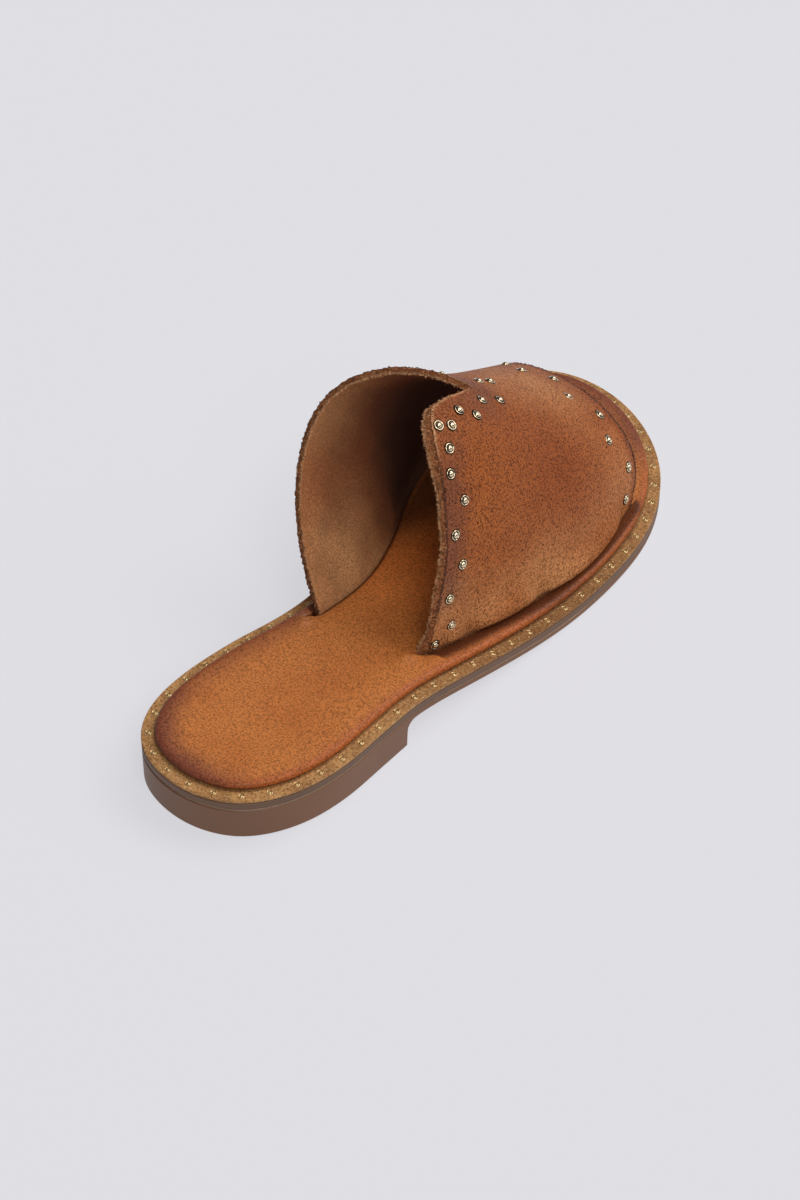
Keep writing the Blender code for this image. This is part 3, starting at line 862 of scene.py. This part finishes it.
def make_fibres(name):
    """All fibres in one mesh: two in three on the suede corner of the throat's cut, one on its face."""
    draw = np.random.default_rng(FIBRE_SEED)
    at_suede, at_grain = set(suede_points), set(grain_points)
    corner = [v for v in throat_edge if v in at_suede]
    between = [v for v in throat_edge if v not in at_suede and v not in at_grain]
    normals = points_of(upper, "normal")
    points, faces = [], []
    for k in range(FIBRE_COUNT):
        pool = between if k % 3 == 0 else corner
        root = pool[draw.integers(len(pool))]
        lean = normals[root] + FIBRE_SPREAD * draw.normal(0.0, 1.0, 3)
        lean /= np.linalg.norm(lean)
        start = hide[root] + draw.normal(0.0, FIBRE_SCATTER, 3) - lean * FIBRE_ROOT
        first = len(points)
        points += splinter(draw, start, lean)
        faces.append((first + 2, first + 1, first))
        for a, b in ((0, 1), (1, 2), (2, 0)):
            faces.append((first + a, first + b, first + 3 + b, first + 3 + a))
            faces.append((first + 3 + a, first + 3 + b, first + 6))
    mesh = bpy.data.meshes.new(name)
    mesh.from_pydata([tuple(p) for p in points], [], faces)
    fibres = bpy.data.objects.new(name, mesh)
    bpy.context.scene.collection.objects.link(fibres)
    return fibres


fibres = make_fibres("raw_edge_fibres")
put_on(fibres, "upper")

# %% [markdown]
# ## Studs
#
# Each stud is a polished dome in a thin rolled rim. One is modelled from a sphere, cut at its foot and
# joined to a small torus and a low plate, and a copy is set on every stud of the frame, whose flat foot
# gives the place and the direction. A dark patina fills the groove between dome and rim. The same dark
# colour is painted on the dome's lower part as a painted dark reflection, and on the plate's edge, which
# shows past the rim, as a painted shadow on the hide. Its strength is kept as an attribute.

# %% Studs
STUD_RADIUS = 1.76 * MM
DOME_RADIUS = 1.20 * MM
DOME_HEIGHT = 1.20 * MM
RIM_WIRE = 0.21 * MM
PLATE_RADIUS = 2.06 * MM
PLATE_THICK = 0.06 * MM
PATINA_AND_REFLECTION_FULL, PATINA_AND_REFLECTION_GONE = 0.42 * MM, 0.86 * MM
STUD_SINK = 0.55 * MM           # the dome's foot, below the frame stud's foot
PLATE_LEVEL = 0.25 * MM         # the hide's face, above the dome's foot
FOOT_SLACK, DOME_SLACK = 0.02 * MM, 0.01 * MM
RIM_LIFT = 0.4                  # share of the rim's wire


def stud_frame(node):
    """Place and direction of one frame stud, from its flat foot."""
    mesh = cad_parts[node].data
    foot = max(mesh.polygons, key=lambda face: face.area)
    ring = points_of(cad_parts[node])
    level = (ring - np.array(foot.center)) @ np.array(foot.normal)
    base = ring[level > level.max() - FOOT_SLACK]
    up = -foot.normal
    turn = up.to_track_quat("Z", "Y").to_matrix().to_4x4()
    return Matrix.Translation(Vector(base.mean(axis=0)) - up * STUD_SINK) @ turn


bpy.ops.object.select_all(action="DESELECT")
bpy.ops.mesh.primitive_uv_sphere_add(segments=28, ring_count=16, radius=DOME_RADIUS)
dome = bpy.context.object
edit("FACE")
bpy.ops.mesh.select_all(action="SELECT")
bpy.ops.mesh.bisect(plane_co=(0.0, 0.0, 0.0), plane_no=(0.0, 0.0, 1.0), clear_inner=True, use_fill=True)
bpy.ops.mesh.select_all(action="SELECT")
bpy.ops.transform.resize(value=(1.0, 1.0, DOME_HEIGHT / DOME_RADIUS), center_override=(0.0, 0.0, 0.0))
bpy.ops.mesh.select_all(action="DESELECT")
bpy.ops.mesh.primitive_torus_add(major_radius=STUD_RADIUS - RIM_WIRE, minor_radius=RIM_WIRE,
                                 major_segments=28, minor_segments=8)
bpy.ops.transform.translate(value=(0.0, 0.0, PLATE_LEVEL + RIM_LIFT * RIM_WIRE))
leave_edit()
polished = len(dome.data.vertices)
edit("VERT")
bpy.ops.mesh.primitive_cylinder_add(vertices=28, radius=PLATE_RADIUS, depth=PLATE_LEVEL + PLATE_THICK)
bpy.ops.transform.translate(value=(0.0, 0.0, 0.5 * (PLATE_LEVEL + PLATE_THICK)))
leave_edit()
stud_points = points_of(dome)
on_dome = np.linalg.norm(stud_points[:, :2], axis=1) < DOME_RADIUS + DOME_SLACK
# Dark patina in the groove; higher on the dome the dark is a painted dark reflection, and the plate, dark
# all over, shows past the rim as a painted shadow.
patina_and_shade = on_dome * share_of(stud_points[:, 2], PATINA_AND_REFLECTION_GONE, PATINA_AND_REFLECTION_FULL)
patina_and_shade[polished:] = 1.0
store(dome, "patina_and_shade", patina_and_shade)
stud_nodes = sorted(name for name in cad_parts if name.startswith("stud_"))
studs = copies_at(dome, "gold_studs", [stud_frame(name) for name in stud_nodes])
shade(studs, 50.0)
put_on(studs, "stud", *stud_nodes)
print(len(stud_nodes), "studs")

# %% [markdown]
# ## Shared surface effects
#
# Leather grain, loose clouds of colour, bands along an edge and patches around a place are wanted by more
# than one finish. Each is a node group that puts out a mask or a height, and each material mixes its own
# colours with them.

# %% Math, noise and new groups
def math_node(tree, operation, *values):
    """A Math node whose inputs are sockets or plain numbers."""
    made = tree.nodes.new("ShaderNodeMath")
    made.operation = operation
    for socket, value in zip(made.inputs, values):
        feed(tree, socket, value)
    return made.outputs["Value"]


def noise(tree, vector, scale, detail=3.0, roughness=0.55):
    made = tree.nodes.new("ShaderNodeTexNoise")
    for name, value in {"Vector": vector, "Scale": scale, "Detail": detail, "Roughness": roughness}.items():
        feed(tree, made.inputs[name], value)
    return made.outputs["Fac"]


def new_group(name, vectors, numbers, outputs):
    """An empty shader group with named vector and number inputs, and number outputs."""
    group = bpy.data.node_groups.new(name, "ShaderNodeTree")
    for socket in vectors:
        group.interface.new_socket(socket, in_out="INPUT", socket_type="NodeSocketVector")
    for socket in numbers:
        group.interface.new_socket(socket, in_out="INPUT", socket_type="NodeSocketFloat")
    for socket in outputs:
        group.interface.new_socket(socket, in_out="OUTPUT", socket_type="NodeSocketFloat")
    return group, group.nodes.new("NodeGroupInput").outputs, group.nodes.new("NodeGroupOutput").inputs


# %% Groups: grain, cloud, band and patch
def grain_group():
    """Leather grain: a height of small pebbles, a mask of fine dark mottling, and the speckle of a nap."""
    group, enter, leave = new_group("Leather grain", ("Vector",), ("Pebbles",), ("Height", "Pores", "Nap"))
    place, pebbles = enter["Vector"], enter["Pebbles"]
    mottle = noise(group, place, pebbles, 4.0, 0.72)
    cells = group.nodes.new("ShaderNodeTexVoronoi")
    join(group, place, cells.inputs["Vector"])
    join(group, math_node(group, "MULTIPLY", pebbles, 0.9), cells.inputs["Scale"])
    from_cell = cells.outputs["Distance"]
    pore = ramp(group, math_node(group, "MULTIPLY_ADD", mottle, -0.9, from_cell), -0.28, 0.02, 0.75, 0.0)
    pore = math_node(group, "MAXIMUM", pore, ramp(group, mottle, 0.45, 0.66))
    sunk = math_node(group, "MULTIPLY", pore, -0.4)
    nap = noise(group, place, math_node(group, "MULTIPLY", pebbles, 1.1), 5.0, 0.75)
    join(group, math_node(group, "MULTIPLY_ADD", from_cell, -0.7, sunk), leave["Height"])
    join(group, pore, leave["Pores"])
    join(group, ramp(group, nap, 0.42, 0.64), leave["Nap"])
    return group


def cloud_group():
    """Loose clouds: a mask from a slow noise."""
    group, enter, leave = new_group("Cloud", ("Vector",), ("Scale", "Low", "High"), ("Mask",))
    slow = noise(group, enter["Vector"], enter["Scale"], 3.0, 0.5)
    join(group, ramp(group, slow, enter["Low"], enter["High"]), leave["Mask"])
    return group


def band_group():
    """A band along an edge: full up to one distance, gone at another, with a ragged border."""
    numbers = ("Distance", "Full", "Gone", "Ragged")
    group, enter, leave = new_group("Edge band", ("Vector",), numbers, ("Mask",))
    rag = math_node(group, "SUBTRACT", noise(group, enter["Vector"], 120.0, 4.0, 0.6), 0.5)
    moved = math_node(group, "MULTIPLY_ADD", rag, enter["Ragged"], enter["Distance"])
    join(group, ramp(group, moved, enter["Full"], enter["Gone"], 1.0, 0.0), leave["Mask"])
    return group


def patch_group():
    """A soft patch around one place in the shoe."""
    group, enter, leave = new_group("Patch", ("Vector", "Middle"), ("Reach",), ("Mask",))
    away = group.nodes.new("ShaderNodeVectorMath")
    away.operation = "DISTANCE"
    join(group, enter["Vector"], away.inputs[0])
    join(group, enter["Middle"], away.inputs[1])
    rag = math_node(group, "SUBTRACT", noise(group, enter["Vector"], 60.0), 0.5)
    moved = math_node(group, "MULTIPLY_ADD", rag, 0.02, away.outputs["Value"])
    join(group, ramp(group, moved, 0.0, enter["Reach"], 1.0, 0.0), leave["Mask"])
    return group


GRAIN_GROUP = grain_group()
CLOUD_GROUP = cloud_group()
BAND_GROUP = band_group()
PATCH_GROUP = patch_group()
SHARED = (GRAIN_GROUP, CLOUD_GROUP, BAND_GROUP, PATCH_GROUP)
print("shader groups:", ", ".join(group.name for group in SHARED))

# %% [markdown]
# ## Building a finish
#
# Each finish starts from one colour and is painted over in layers, as a maker stains and burnishes
# leather. A small class keeps the material and its colour so far, so that each layer is one line. Places
# and distances on the shoe are given in millimetres, and y is measured from the back of the heel.

# %% A finish under construction
class Finish:
    """One material while it is being built: its tree, its shader and the colour so far."""

    def __init__(self, name, colour, roughness, specular=0.5, metallic=0.0):
        self.material = bpy.data.materials.get(name) or bpy.data.materials.new(name)
        self.material.use_nodes = True
        self.tree = self.material.node_tree
        self.shader = self.tree.nodes["Principled BSDF"]
        self.colour = (*colour, 1.0)
        self.shader.inputs["Base Color"].default_value = self.colour
        self.shader.inputs["Roughness"].default_value = roughness
        self.shader.inputs["Specular IOR Level"].default_value = specular
        self.shader.inputs["Metallic"].default_value = metallic
        self.place = self.tree.nodes.new("ShaderNodeTexCoord").outputs["Object"]

    def group(self, group, output, **values):
        """Place a shared effect, with its own numbers, and give one of its outputs."""
        made = self.tree.nodes.new("ShaderNodeGroup")
        made.node_tree = group
        join(self.tree, self.place, made.inputs["Vector"])
        for name, value in values.items():
            feed(self.tree, made.inputs[name.title()], value)
        return made.outputs[output]

    def grain(self, output, pebbles=1400.0):
        return self.group(GRAIN_GROUP, output, pebbles=pebbles)

    def cloud(self, scale, low, high):
        return self.group(CLOUD_GROUP, "Mask", scale=scale, low=low, high=high)

    def band(self, distance, full, gone, ragged):
        return self.group(BAND_GROUP, "Mask", distance=distance, full=full * MM, gone=gone * MM,
                          ragged=ragged * MM)

    def patch(self, x, y, z, reach):
        return self.group(PATCH_GROUP, "Mask", middle=(x * MM, y * MM + HEEL_BACK, z * MM), reach=reach * MM)

    def attribute(self, name):
        made = self.tree.nodes.new("ShaderNodeAttribute")
        made.attribute_name = name
        return made.outputs["Fac"]

    def axis(self, name):
        """One of a place's own coordinates: X, Z, or Y from the back of the heel."""
        made = self.tree.nodes.new("ShaderNodeSeparateXYZ")
        join(self.tree, self.place, made.inputs["Vector"])
        if name == "Y":
            return math_node(self.tree, "SUBTRACT", made.outputs[name], HEEL_BACK)
        return made.outputs[name]

    def combine(self, operation, *masks):
        """Masks joined one after another by a Math operation."""
        joined = masks[0]
        for mask in masks[1:]:
            joined = math_node(self.tree, operation, joined, mask)
        return joined

    def times(self, *masks):
        return self.combine("MULTIPLY", *masks)

    def rise(self, value, low, high, out_low=0.0, out_high=1.0):
        """A soft step up between two places or distances."""
        return ramp(self.tree, value, low * MM, high * MM, out_low, out_high)

    def fall(self, value, low, high, left=0.0):
        """A soft step down between two places or distances."""
        return self.rise(value, low, high, 1.0, left)

    def paint(self, mask, colour, strength=1.0, mode="MIX"):
        """Lay another colour over the surface where a mask says so."""
        self.colour = mix(self.tree, self.times(mask, strength), self.colour, (*colour, 1.0), mode)

    def patches(self, *rows):
        """Lay soft patches: x, y and z of the middle, reach, colour and strength."""
        for x, y, z, reach, colour, strength in rows:
            self.paint(self.patch(x, y, z, reach), colour, strength)

    def bump(self, height, depth, strength):
        """Raise the surface by a height, whose depth is in millimetres."""
        made = self.tree.nodes.new("ShaderNodeBump")
        made.inputs["Distance"].default_value = depth * MM
        made.inputs["Strength"].default_value = strength
        join(self.tree, height, made.inputs["Height"])
        join(self.tree, made.outputs["Normal"], self.shader.inputs["Normal"])

    def rough(self, mask, low, high):
        join(self.tree, ramp(self.tree, mask, 0.0, 1.0, low, high), self.shader.inputs["Roughness"])

    def done(self, *pieces):
        """Connect the colour and give the material to its pieces."""
        join(self.tree, self.colour, self.shader.inputs["Base Color"])
        for piece in pieces:
            piece.data.materials.clear()
            piece.data.materials.append(self.material)
        print("finish", self.material.name, "with", len(self.tree.nodes), "nodes")


# %% [markdown]
# ## Grain side of the upper
#
# The hide is tan and finely pebbled. It is darker in the middle of the vamp, lighter along the bottom and
# near the toe, and a purplish burnish runs along the throat. The corner of the cut is dyed dark, and
# rubbed light at the flap's top, with a painted highlight there. Painted shade darkens the hide along the
# toe edge and at its foot, under the swell over the foot bed.

# %% Finish: hide grain
TAN = (0.450, 0.130, 0.029)
TAN_LIGHT = (0.720, 0.310, 0.112)
TAN_DARK_AND_SHADE = (0.300, 0.070, 0.016)
TAN_RUBBED_AND_HIGHLIGHT = (0.780, 0.420, 0.210)
BURNISH = (0.190, 0.064, 0.038)
EDGE_DYE_AND_SHADE = (0.060, 0.022, 0.014)
PORE_SHADE = (0.20, 0.145, 0.115)

skin = Finish("hide_grain", TAN, 0.5, 0.14)
skin.patches(
    (40.0, 150.0, 10.0, 40.0, TAN_LIGHT, 1.0),
    (34.0, 108.0, 20.0, 30.0, TAN_LIGHT, 0.9),
    (28.0, 99.0, 28.0, 22.0, TAN_LIGHT, 0.9),
    (36.0, 196.0, 22.0, 34.0, TAN_LIGHT, 0.35),
    (2.0, 190.0, 60.0, 36.0, TAN_LIGHT, 0.65),
    (30.0, 166.0, 52.0, 40.0, TAN_DARK_AND_SHADE, 0.75),
    (17.0, 140.0, 76.0, 30.0, TAN_DARK_AND_SHADE, 0.35),
    (-36.0, 150.0, 46.0, 50.0, TAN_DARK_AND_SHADE, 0.6))
skin.paint(skin.cloud(55.0, 0.42, 0.7), TAN_DARK_AND_SHADE, 0.28)
throat, toe, height = skin.attribute("throat"), skin.attribute("toe"), skin.axis("Z")
burnished = skin.times(skin.band(throat, 3.0, 17.0, 12.0), skin.rise(height, 24.0, 44.0, 0.1))
skin.paint(skin.times(burnished, skin.fall(height, 72.0, 84.0, 0.5)), BURNISH, 0.7)
corner = skin.band(throat, 0.4, 1.4, 0.8)
# Painted highlight along the cut's rubbed corner at the flap's top.
skin.paint(skin.times(corner, skin.rise(height, 77.0, 84.0)), TAN_RUBBED_AND_HIGHLIGHT, 0.6)
dyed = skin.times(skin.fall(height, 74.0, 82.0), skin.rise(height, 26.0, 36.0))
skin.paint(skin.times(corner, dyed), EDGE_DYE_AND_SHADE, 0.65)
# Painted shade along the toe edge, darkest in a thin line at the edge itself.
skin.paint(skin.band(toe, 0.5, 6.0, 4.0), TAN_DARK_AND_SHADE, 0.8)
skin.paint(skin.band(toe, 0.4, 1.3, 0.3), EDGE_DYE_AND_SHADE, 0.9)
# Painted shade at the hide's foot, under its swell over the foot bed.
skin.paint(skin.fall(skin.attribute("foot"), 0.3, 2.4), EDGE_DYE_AND_SHADE, 0.65)
pores = skin.grain("Pores")
skin.paint(pores, PORE_SHADE, 1.0, "MULTIPLY")
skin.bump(skin.grain("Height"), 0.3, 0.7)
skin.rough(pores, 0.44, 0.60)
skin.done()

# %% [markdown]
# ## Suede side, raw cut and fibres
#
# Inside, the hide is napped: short fibres catch the light as a dense speckle. Painted light brightens the
# inner flap low at the back and near its top, painted shade darkens its middle, and a painted shadow
# darkens the suede strongly toward the toe. The cut shows the same fibres end on. It is darker at its outer
# corner, where the dye soaked in, and on the inner flap, and painted shade darkens it along the toe edge.

# %% Finish: suede, raw edge and fibres
SUEDE_TAN = (0.600, 0.190, 0.062)
SUEDE_PAINTED_LIGHT = (1.000, 0.540, 0.230)
SUEDE_DARK_AND_SHADE = (0.070, 0.020, 0.008)
NAP_SHADE = (0.30, 0.24, 0.20)
SHADOW_FROM, SHADOW_FULL = 129.0, 160.0
RAW_BROWN = (0.680, 0.262, 0.107)
RAW_LIGHT = (0.950, 0.560, 0.290)
RAW_PEBBLES = 1500.0

suede = Finish("hide_suede", SUEDE_TAN, 0.95, 0.1)
suede.shader.inputs["Sheen Weight"].default_value = 0.05
suede.shader.inputs["Sheen Roughness"].default_value = 0.6
# Painted light low at the back and near the top of the inner flap, painted shade in its middle.
suede.patches(
    (-37.0, 104.0, 12.0, 50.0, SUEDE_PAINTED_LIGHT, 1.0),
    (-42.0, 130.0, 52.0, 40.0, SUEDE_DARK_AND_SHADE, 0.4),
    (-30.0, 122.0, 76.0, 34.0, SUEDE_PAINTED_LIGHT, 0.55))
suede.paint(suede.cloud(70.0, 0.45, 0.75), SUEDE_DARK_AND_SHADE, 0.25)
# Painted shadow inside the upper, growing toward the toe.
suede.paint(suede.rise(suede.axis("Y"), SHADOW_FROM, SHADOW_FULL), SUEDE_DARK_AND_SHADE, 0.95)
nap = suede.grain("Nap")
suede.paint(nap, NAP_SHADE, 0.58, "MULTIPLY")
suede.bump(nap, 0.3, 0.8)
suede.done()

raw_cut = Finish("hide_raw_edge", RAW_BROWN, 0.9, 0.1)
depth = raw_cut.attribute("cut")
raw_cut.paint(ramp(raw_cut.tree, depth, 0.6, 0.95), RAW_LIGHT, 0.85)
raw_cut.paint(ramp(raw_cut.tree, depth, 0.03, 0.22, 1.0, 0.0), EDGE_DYE_AND_SHADE, 0.75)
nap = raw_cut.grain("Nap", RAW_PEBBLES)
raw_cut.paint(nap, NAP_SHADE, 0.65, "MULTIPLY")
raw_cut.paint(raw_cut.cloud(600.0, 0.48, 0.62), EDGE_DYE_AND_SHADE, 0.4)
raw_cut.paint(raw_cut.fall(raw_cut.axis("X"), -14.0, -2.0), EDGE_DYE_AND_SHADE, 0.42)
# Painted shade on the cut along the toe edge.
raw_cut.paint(raw_cut.band(raw_cut.attribute("toe"), 3.0, 6.0, 1.0), EDGE_DYE_AND_SHADE, 0.8)
raw_cut.bump(nap, 0.4, 0.9)
raw_cut.done()

fuzz = Finish("fibre_tan", RAW_LIGHT, 0.85, 0.15)
fuzz.paint(fuzz.cloud(300.0, 0.4, 0.65), RAW_BROWN, 0.6)
fuzz.done(fibres)

# %% [markdown]
# ## Insole leather
#
# The foot bed is warm orange-tan with a fine grain and a soft shine, and painted light brightens it in the
# throat. Its rim was burnished dark by hand: a deep band around the heel and the toe, a reddish one along
# the inner side, and hardly any on the near side. Painted shade darkens it beside the slits, where the
# upper overhangs it, and painted shadow darkens it under the upper's inner half.

# %% Finish: insole
INSOLE_TAN = (0.640, 0.215, 0.052)
INSOLE_DEEP = (0.470, 0.115, 0.022)
INSOLE_PAINTED_LIGHT = (1.000, 0.295, 0.066)
INSOLE_BURNISH = (0.190, 0.052, 0.038)
INSOLE_SHADOW = (0.075, 0.017, 0.008)
INSOLE_SLIT_SHADE = (0.100, 0.024, 0.007)
SEAM_INSET = 4.3
HEEL_LEAN = 0.75
SHADE_LEAN = -0.32
SHADE_AT = 140.0
SHADE_DARK, SHADE_LIGHT = -30.0, -12.0
SLIT_SHADE_STRONG, SLIT_SHADE_WEAK = 146.0, 172.0

bed_skin = Finish("insole_leather", INSOLE_TAN, 0.46, 0.28)
inset, slit = bed_skin.attribute("inset"), bed_skin.attribute("slit")
across, along = bed_skin.axis("X"), bed_skin.axis("Y")
# Painted light on the foot bed inside the throat.
bed_skin.patches((4.0, 142.0, 13.0, 50.0, INSOLE_PAINTED_LIGHT, 0.95))
bed_skin.paint(bed_skin.cloud(45.0, 0.45, 0.75), INSOLE_DEEP, 0.35)
bed_skin.paint(bed_skin.band(inset, 5.2, 8.5, 2.0), INSOLE_DEEP, 0.85)

heel_lean = math_node(bed_skin.tree, "MULTIPLY_ADD", across, HEEL_LEAN, along)
toe_side = bed_skin.times(bed_skin.rise(along, 196.0, 224.0, 0.0, 0.95), bed_skin.fall(across, 18.0, 32.0))
burnished = bed_skin.combine("MAXIMUM", bed_skin.fall(heel_lean, 4.0, 34.0),
                             bed_skin.rise(across, -16.0, -4.0, 0.6, 0.0), toe_side)
bed_skin.paint(bed_skin.times(bed_skin.band(inset, 6.2, 16.5, 5.0), burnished), INSOLE_BURNISH, 0.78)

# Painted shade on the pad beside the slits, where the upper overhangs it.
slit_shade = bed_skin.times(bed_skin.band(slit, 4.6, 8.0, 1.0), bed_skin.fall(along, SLIT_SHADE_STRONG, SLIT_SHADE_WEAK, 0.3))
bed_skin.paint(slit_shade, INSOLE_SLIT_SHADE, 0.9)
bed_skin.paint(bed_skin.band(slit, 3.6, 5.2, 0.6), INSOLE_SLIT_SHADE, 0.85)
# Painted shadow on the foot bed under the upper's inner half.
to_wall = math_node(bed_skin.tree, "MULTIPLY_ADD", along, SHADE_LEAN, across)
leaning = SHADE_LEAN * SHADE_AT
under = bed_skin.fall(to_wall, SHADE_DARK + leaning, SHADE_LIGHT + leaning)
under = bed_skin.times(under, bed_skin.fall(along, 198.0, 214.0), bed_skin.rise(inset, 10.0, 15.0))
bed_skin.paint(under, INSOLE_SHADOW, 0.8)
bed_skin.paint(bed_skin.fall(inset, SEAM_INSET, SEAM_INSET + 0.4), INSOLE_SHADOW, 0.4)
pores = bed_skin.grain("Pores")
bed_skin.paint(pores, PORE_SHADE, 0.8, "MULTIPLY")
bed_skin.bump(bed_skin.grain("Height"), 0.16, 0.5)
bed_skin.rough(pores, 0.40, 0.56)
bed_skin.done(insole)

# %% [markdown]
# ## Welt, midsole, outsole and metal
#
# The welt is a golden strip with a dense dark speckle. The midsole's edge is a grey-brown board, waxed
# and rubbed, with faint lines along it. The outsole is satin brown rubber, with a painted highlight in a
# broken line along its top edge. Studs and nails are pale gold.

# %% Finish: welt
WELT_GOLD = (0.560, 0.285, 0.102)
WELT_SHADE = (0.34, 0.28, 0.20)
WELT_PALE = (0.680, 0.480, 0.250)
WELT_DEEP = (0.260, 0.115, 0.035)

strip = Finish("welt_gold", WELT_GOLD, 0.6, 0.3)
strip.paint(strip.cloud(160.0, 0.4, 0.7), WELT_DEEP, 0.5)
strip.patches((46.0, 140.0, 10.0, 105.0, WELT_DEEP, 0.9))
strip.paint(strip.grain("Pores", 1100.0), WELT_SHADE, 0.85, "MULTIPLY")
strip.paint(strip.cloud(1300.0, 0.58, 0.68), WELT_PALE, 0.6)
strip.paint(strip.rise(strip.attribute("below"), 0.55, 0.85), WELT_PALE, 0.6)
strip.paint(strip.rise(strip.attribute("inset"), SEAM_INSET - 0.3, SEAM_INSET), INSOLE_SHADOW, 0.4)
strip.bump(strip.grain("Height", 1000.0), 0.2, 0.6)
strip.done(welt)

# %% Finish: midsole and outsole
BOARD = (0.175, 0.098, 0.061)
BOARD_DARK = (0.130, 0.080, 0.056)
RUBBER = (0.208, 0.101, 0.055)
RUBBER_DARK = (0.168, 0.080, 0.044)
LIP_HIGHLIGHT = (0.560, 0.420, 0.280)

board = Finish("midsole_board", BOARD, 0.5, 0.25)
layers = board.tree.nodes.new("ShaderNodeTexWave")
layers.wave_type = "BANDS"
layers.bands_direction = "Z"
layers.inputs["Scale"].default_value = 260.0
layers.inputs["Distortion"].default_value = 2.0
join(board.tree, board.place, layers.inputs["Vector"])
board.paint(layers.outputs["Fac"], BOARD_DARK, 0.3)
board.paint(board.cloud(120.0, 0.45, 0.7), BOARD_DARK, 0.4)
board.bump(board.grain("Height", 1800.0), 0.06, 0.4)
board.done(midsole)

rubber = Finish("outsole_rubber", RUBBER, 0.45, 0.3)
rubber.paint(rubber.cloud(40.0, 0.4, 0.75), RUBBER_DARK, 0.45)
rubber.paint(rubber.grain("Nap", 1600.0), RUBBER_DARK, 0.2)
# Painted highlight, a broken pale line along the outsole's top edge.
lip_highlight = rubber.fall(rubber.attribute("below"), 4.5, 4.8)
rubber.paint(rubber.times(lip_highlight, rubber.cloud(25.0, 0.30, 0.5)), LIP_HIGHLIGHT, 0.8)
rubber.bump(rubber.grain("Height", 2200.0), 0.04, 0.4)
rubber.done(outsole)

# %% Finish: studs and nails
GOLD = (0.84, 0.69, 0.47)
PATINA_AND_SHADE = (0.03, 0.02, 0.013)
NAIL_GOLD = (0.72, 0.55, 0.28)
NAIL_DULL = (0.42, 0.27, 0.10)

gold = Finish("pale_gold", GOLD, 0.16, 0.5, 1.0)
# Patina in the groove, a painted dark reflection on the dome and a painted shadow round the stud.
gold.paint(gold.attribute("patina_and_shade"), PATINA_AND_SHADE)
gold.rough(gold.cloud(900.0, 0.4, 0.7), 0.10, 0.20)
gold.done(studs)

nail_gold = Finish("nail_gold", NAIL_GOLD, 0.38, 0.5, 1.0)
nail_gold.paint(nail_gold.cloud(700.0, 0.5, 0.7), NAIL_DULL, 0.6)
nail_gold.done(nails)
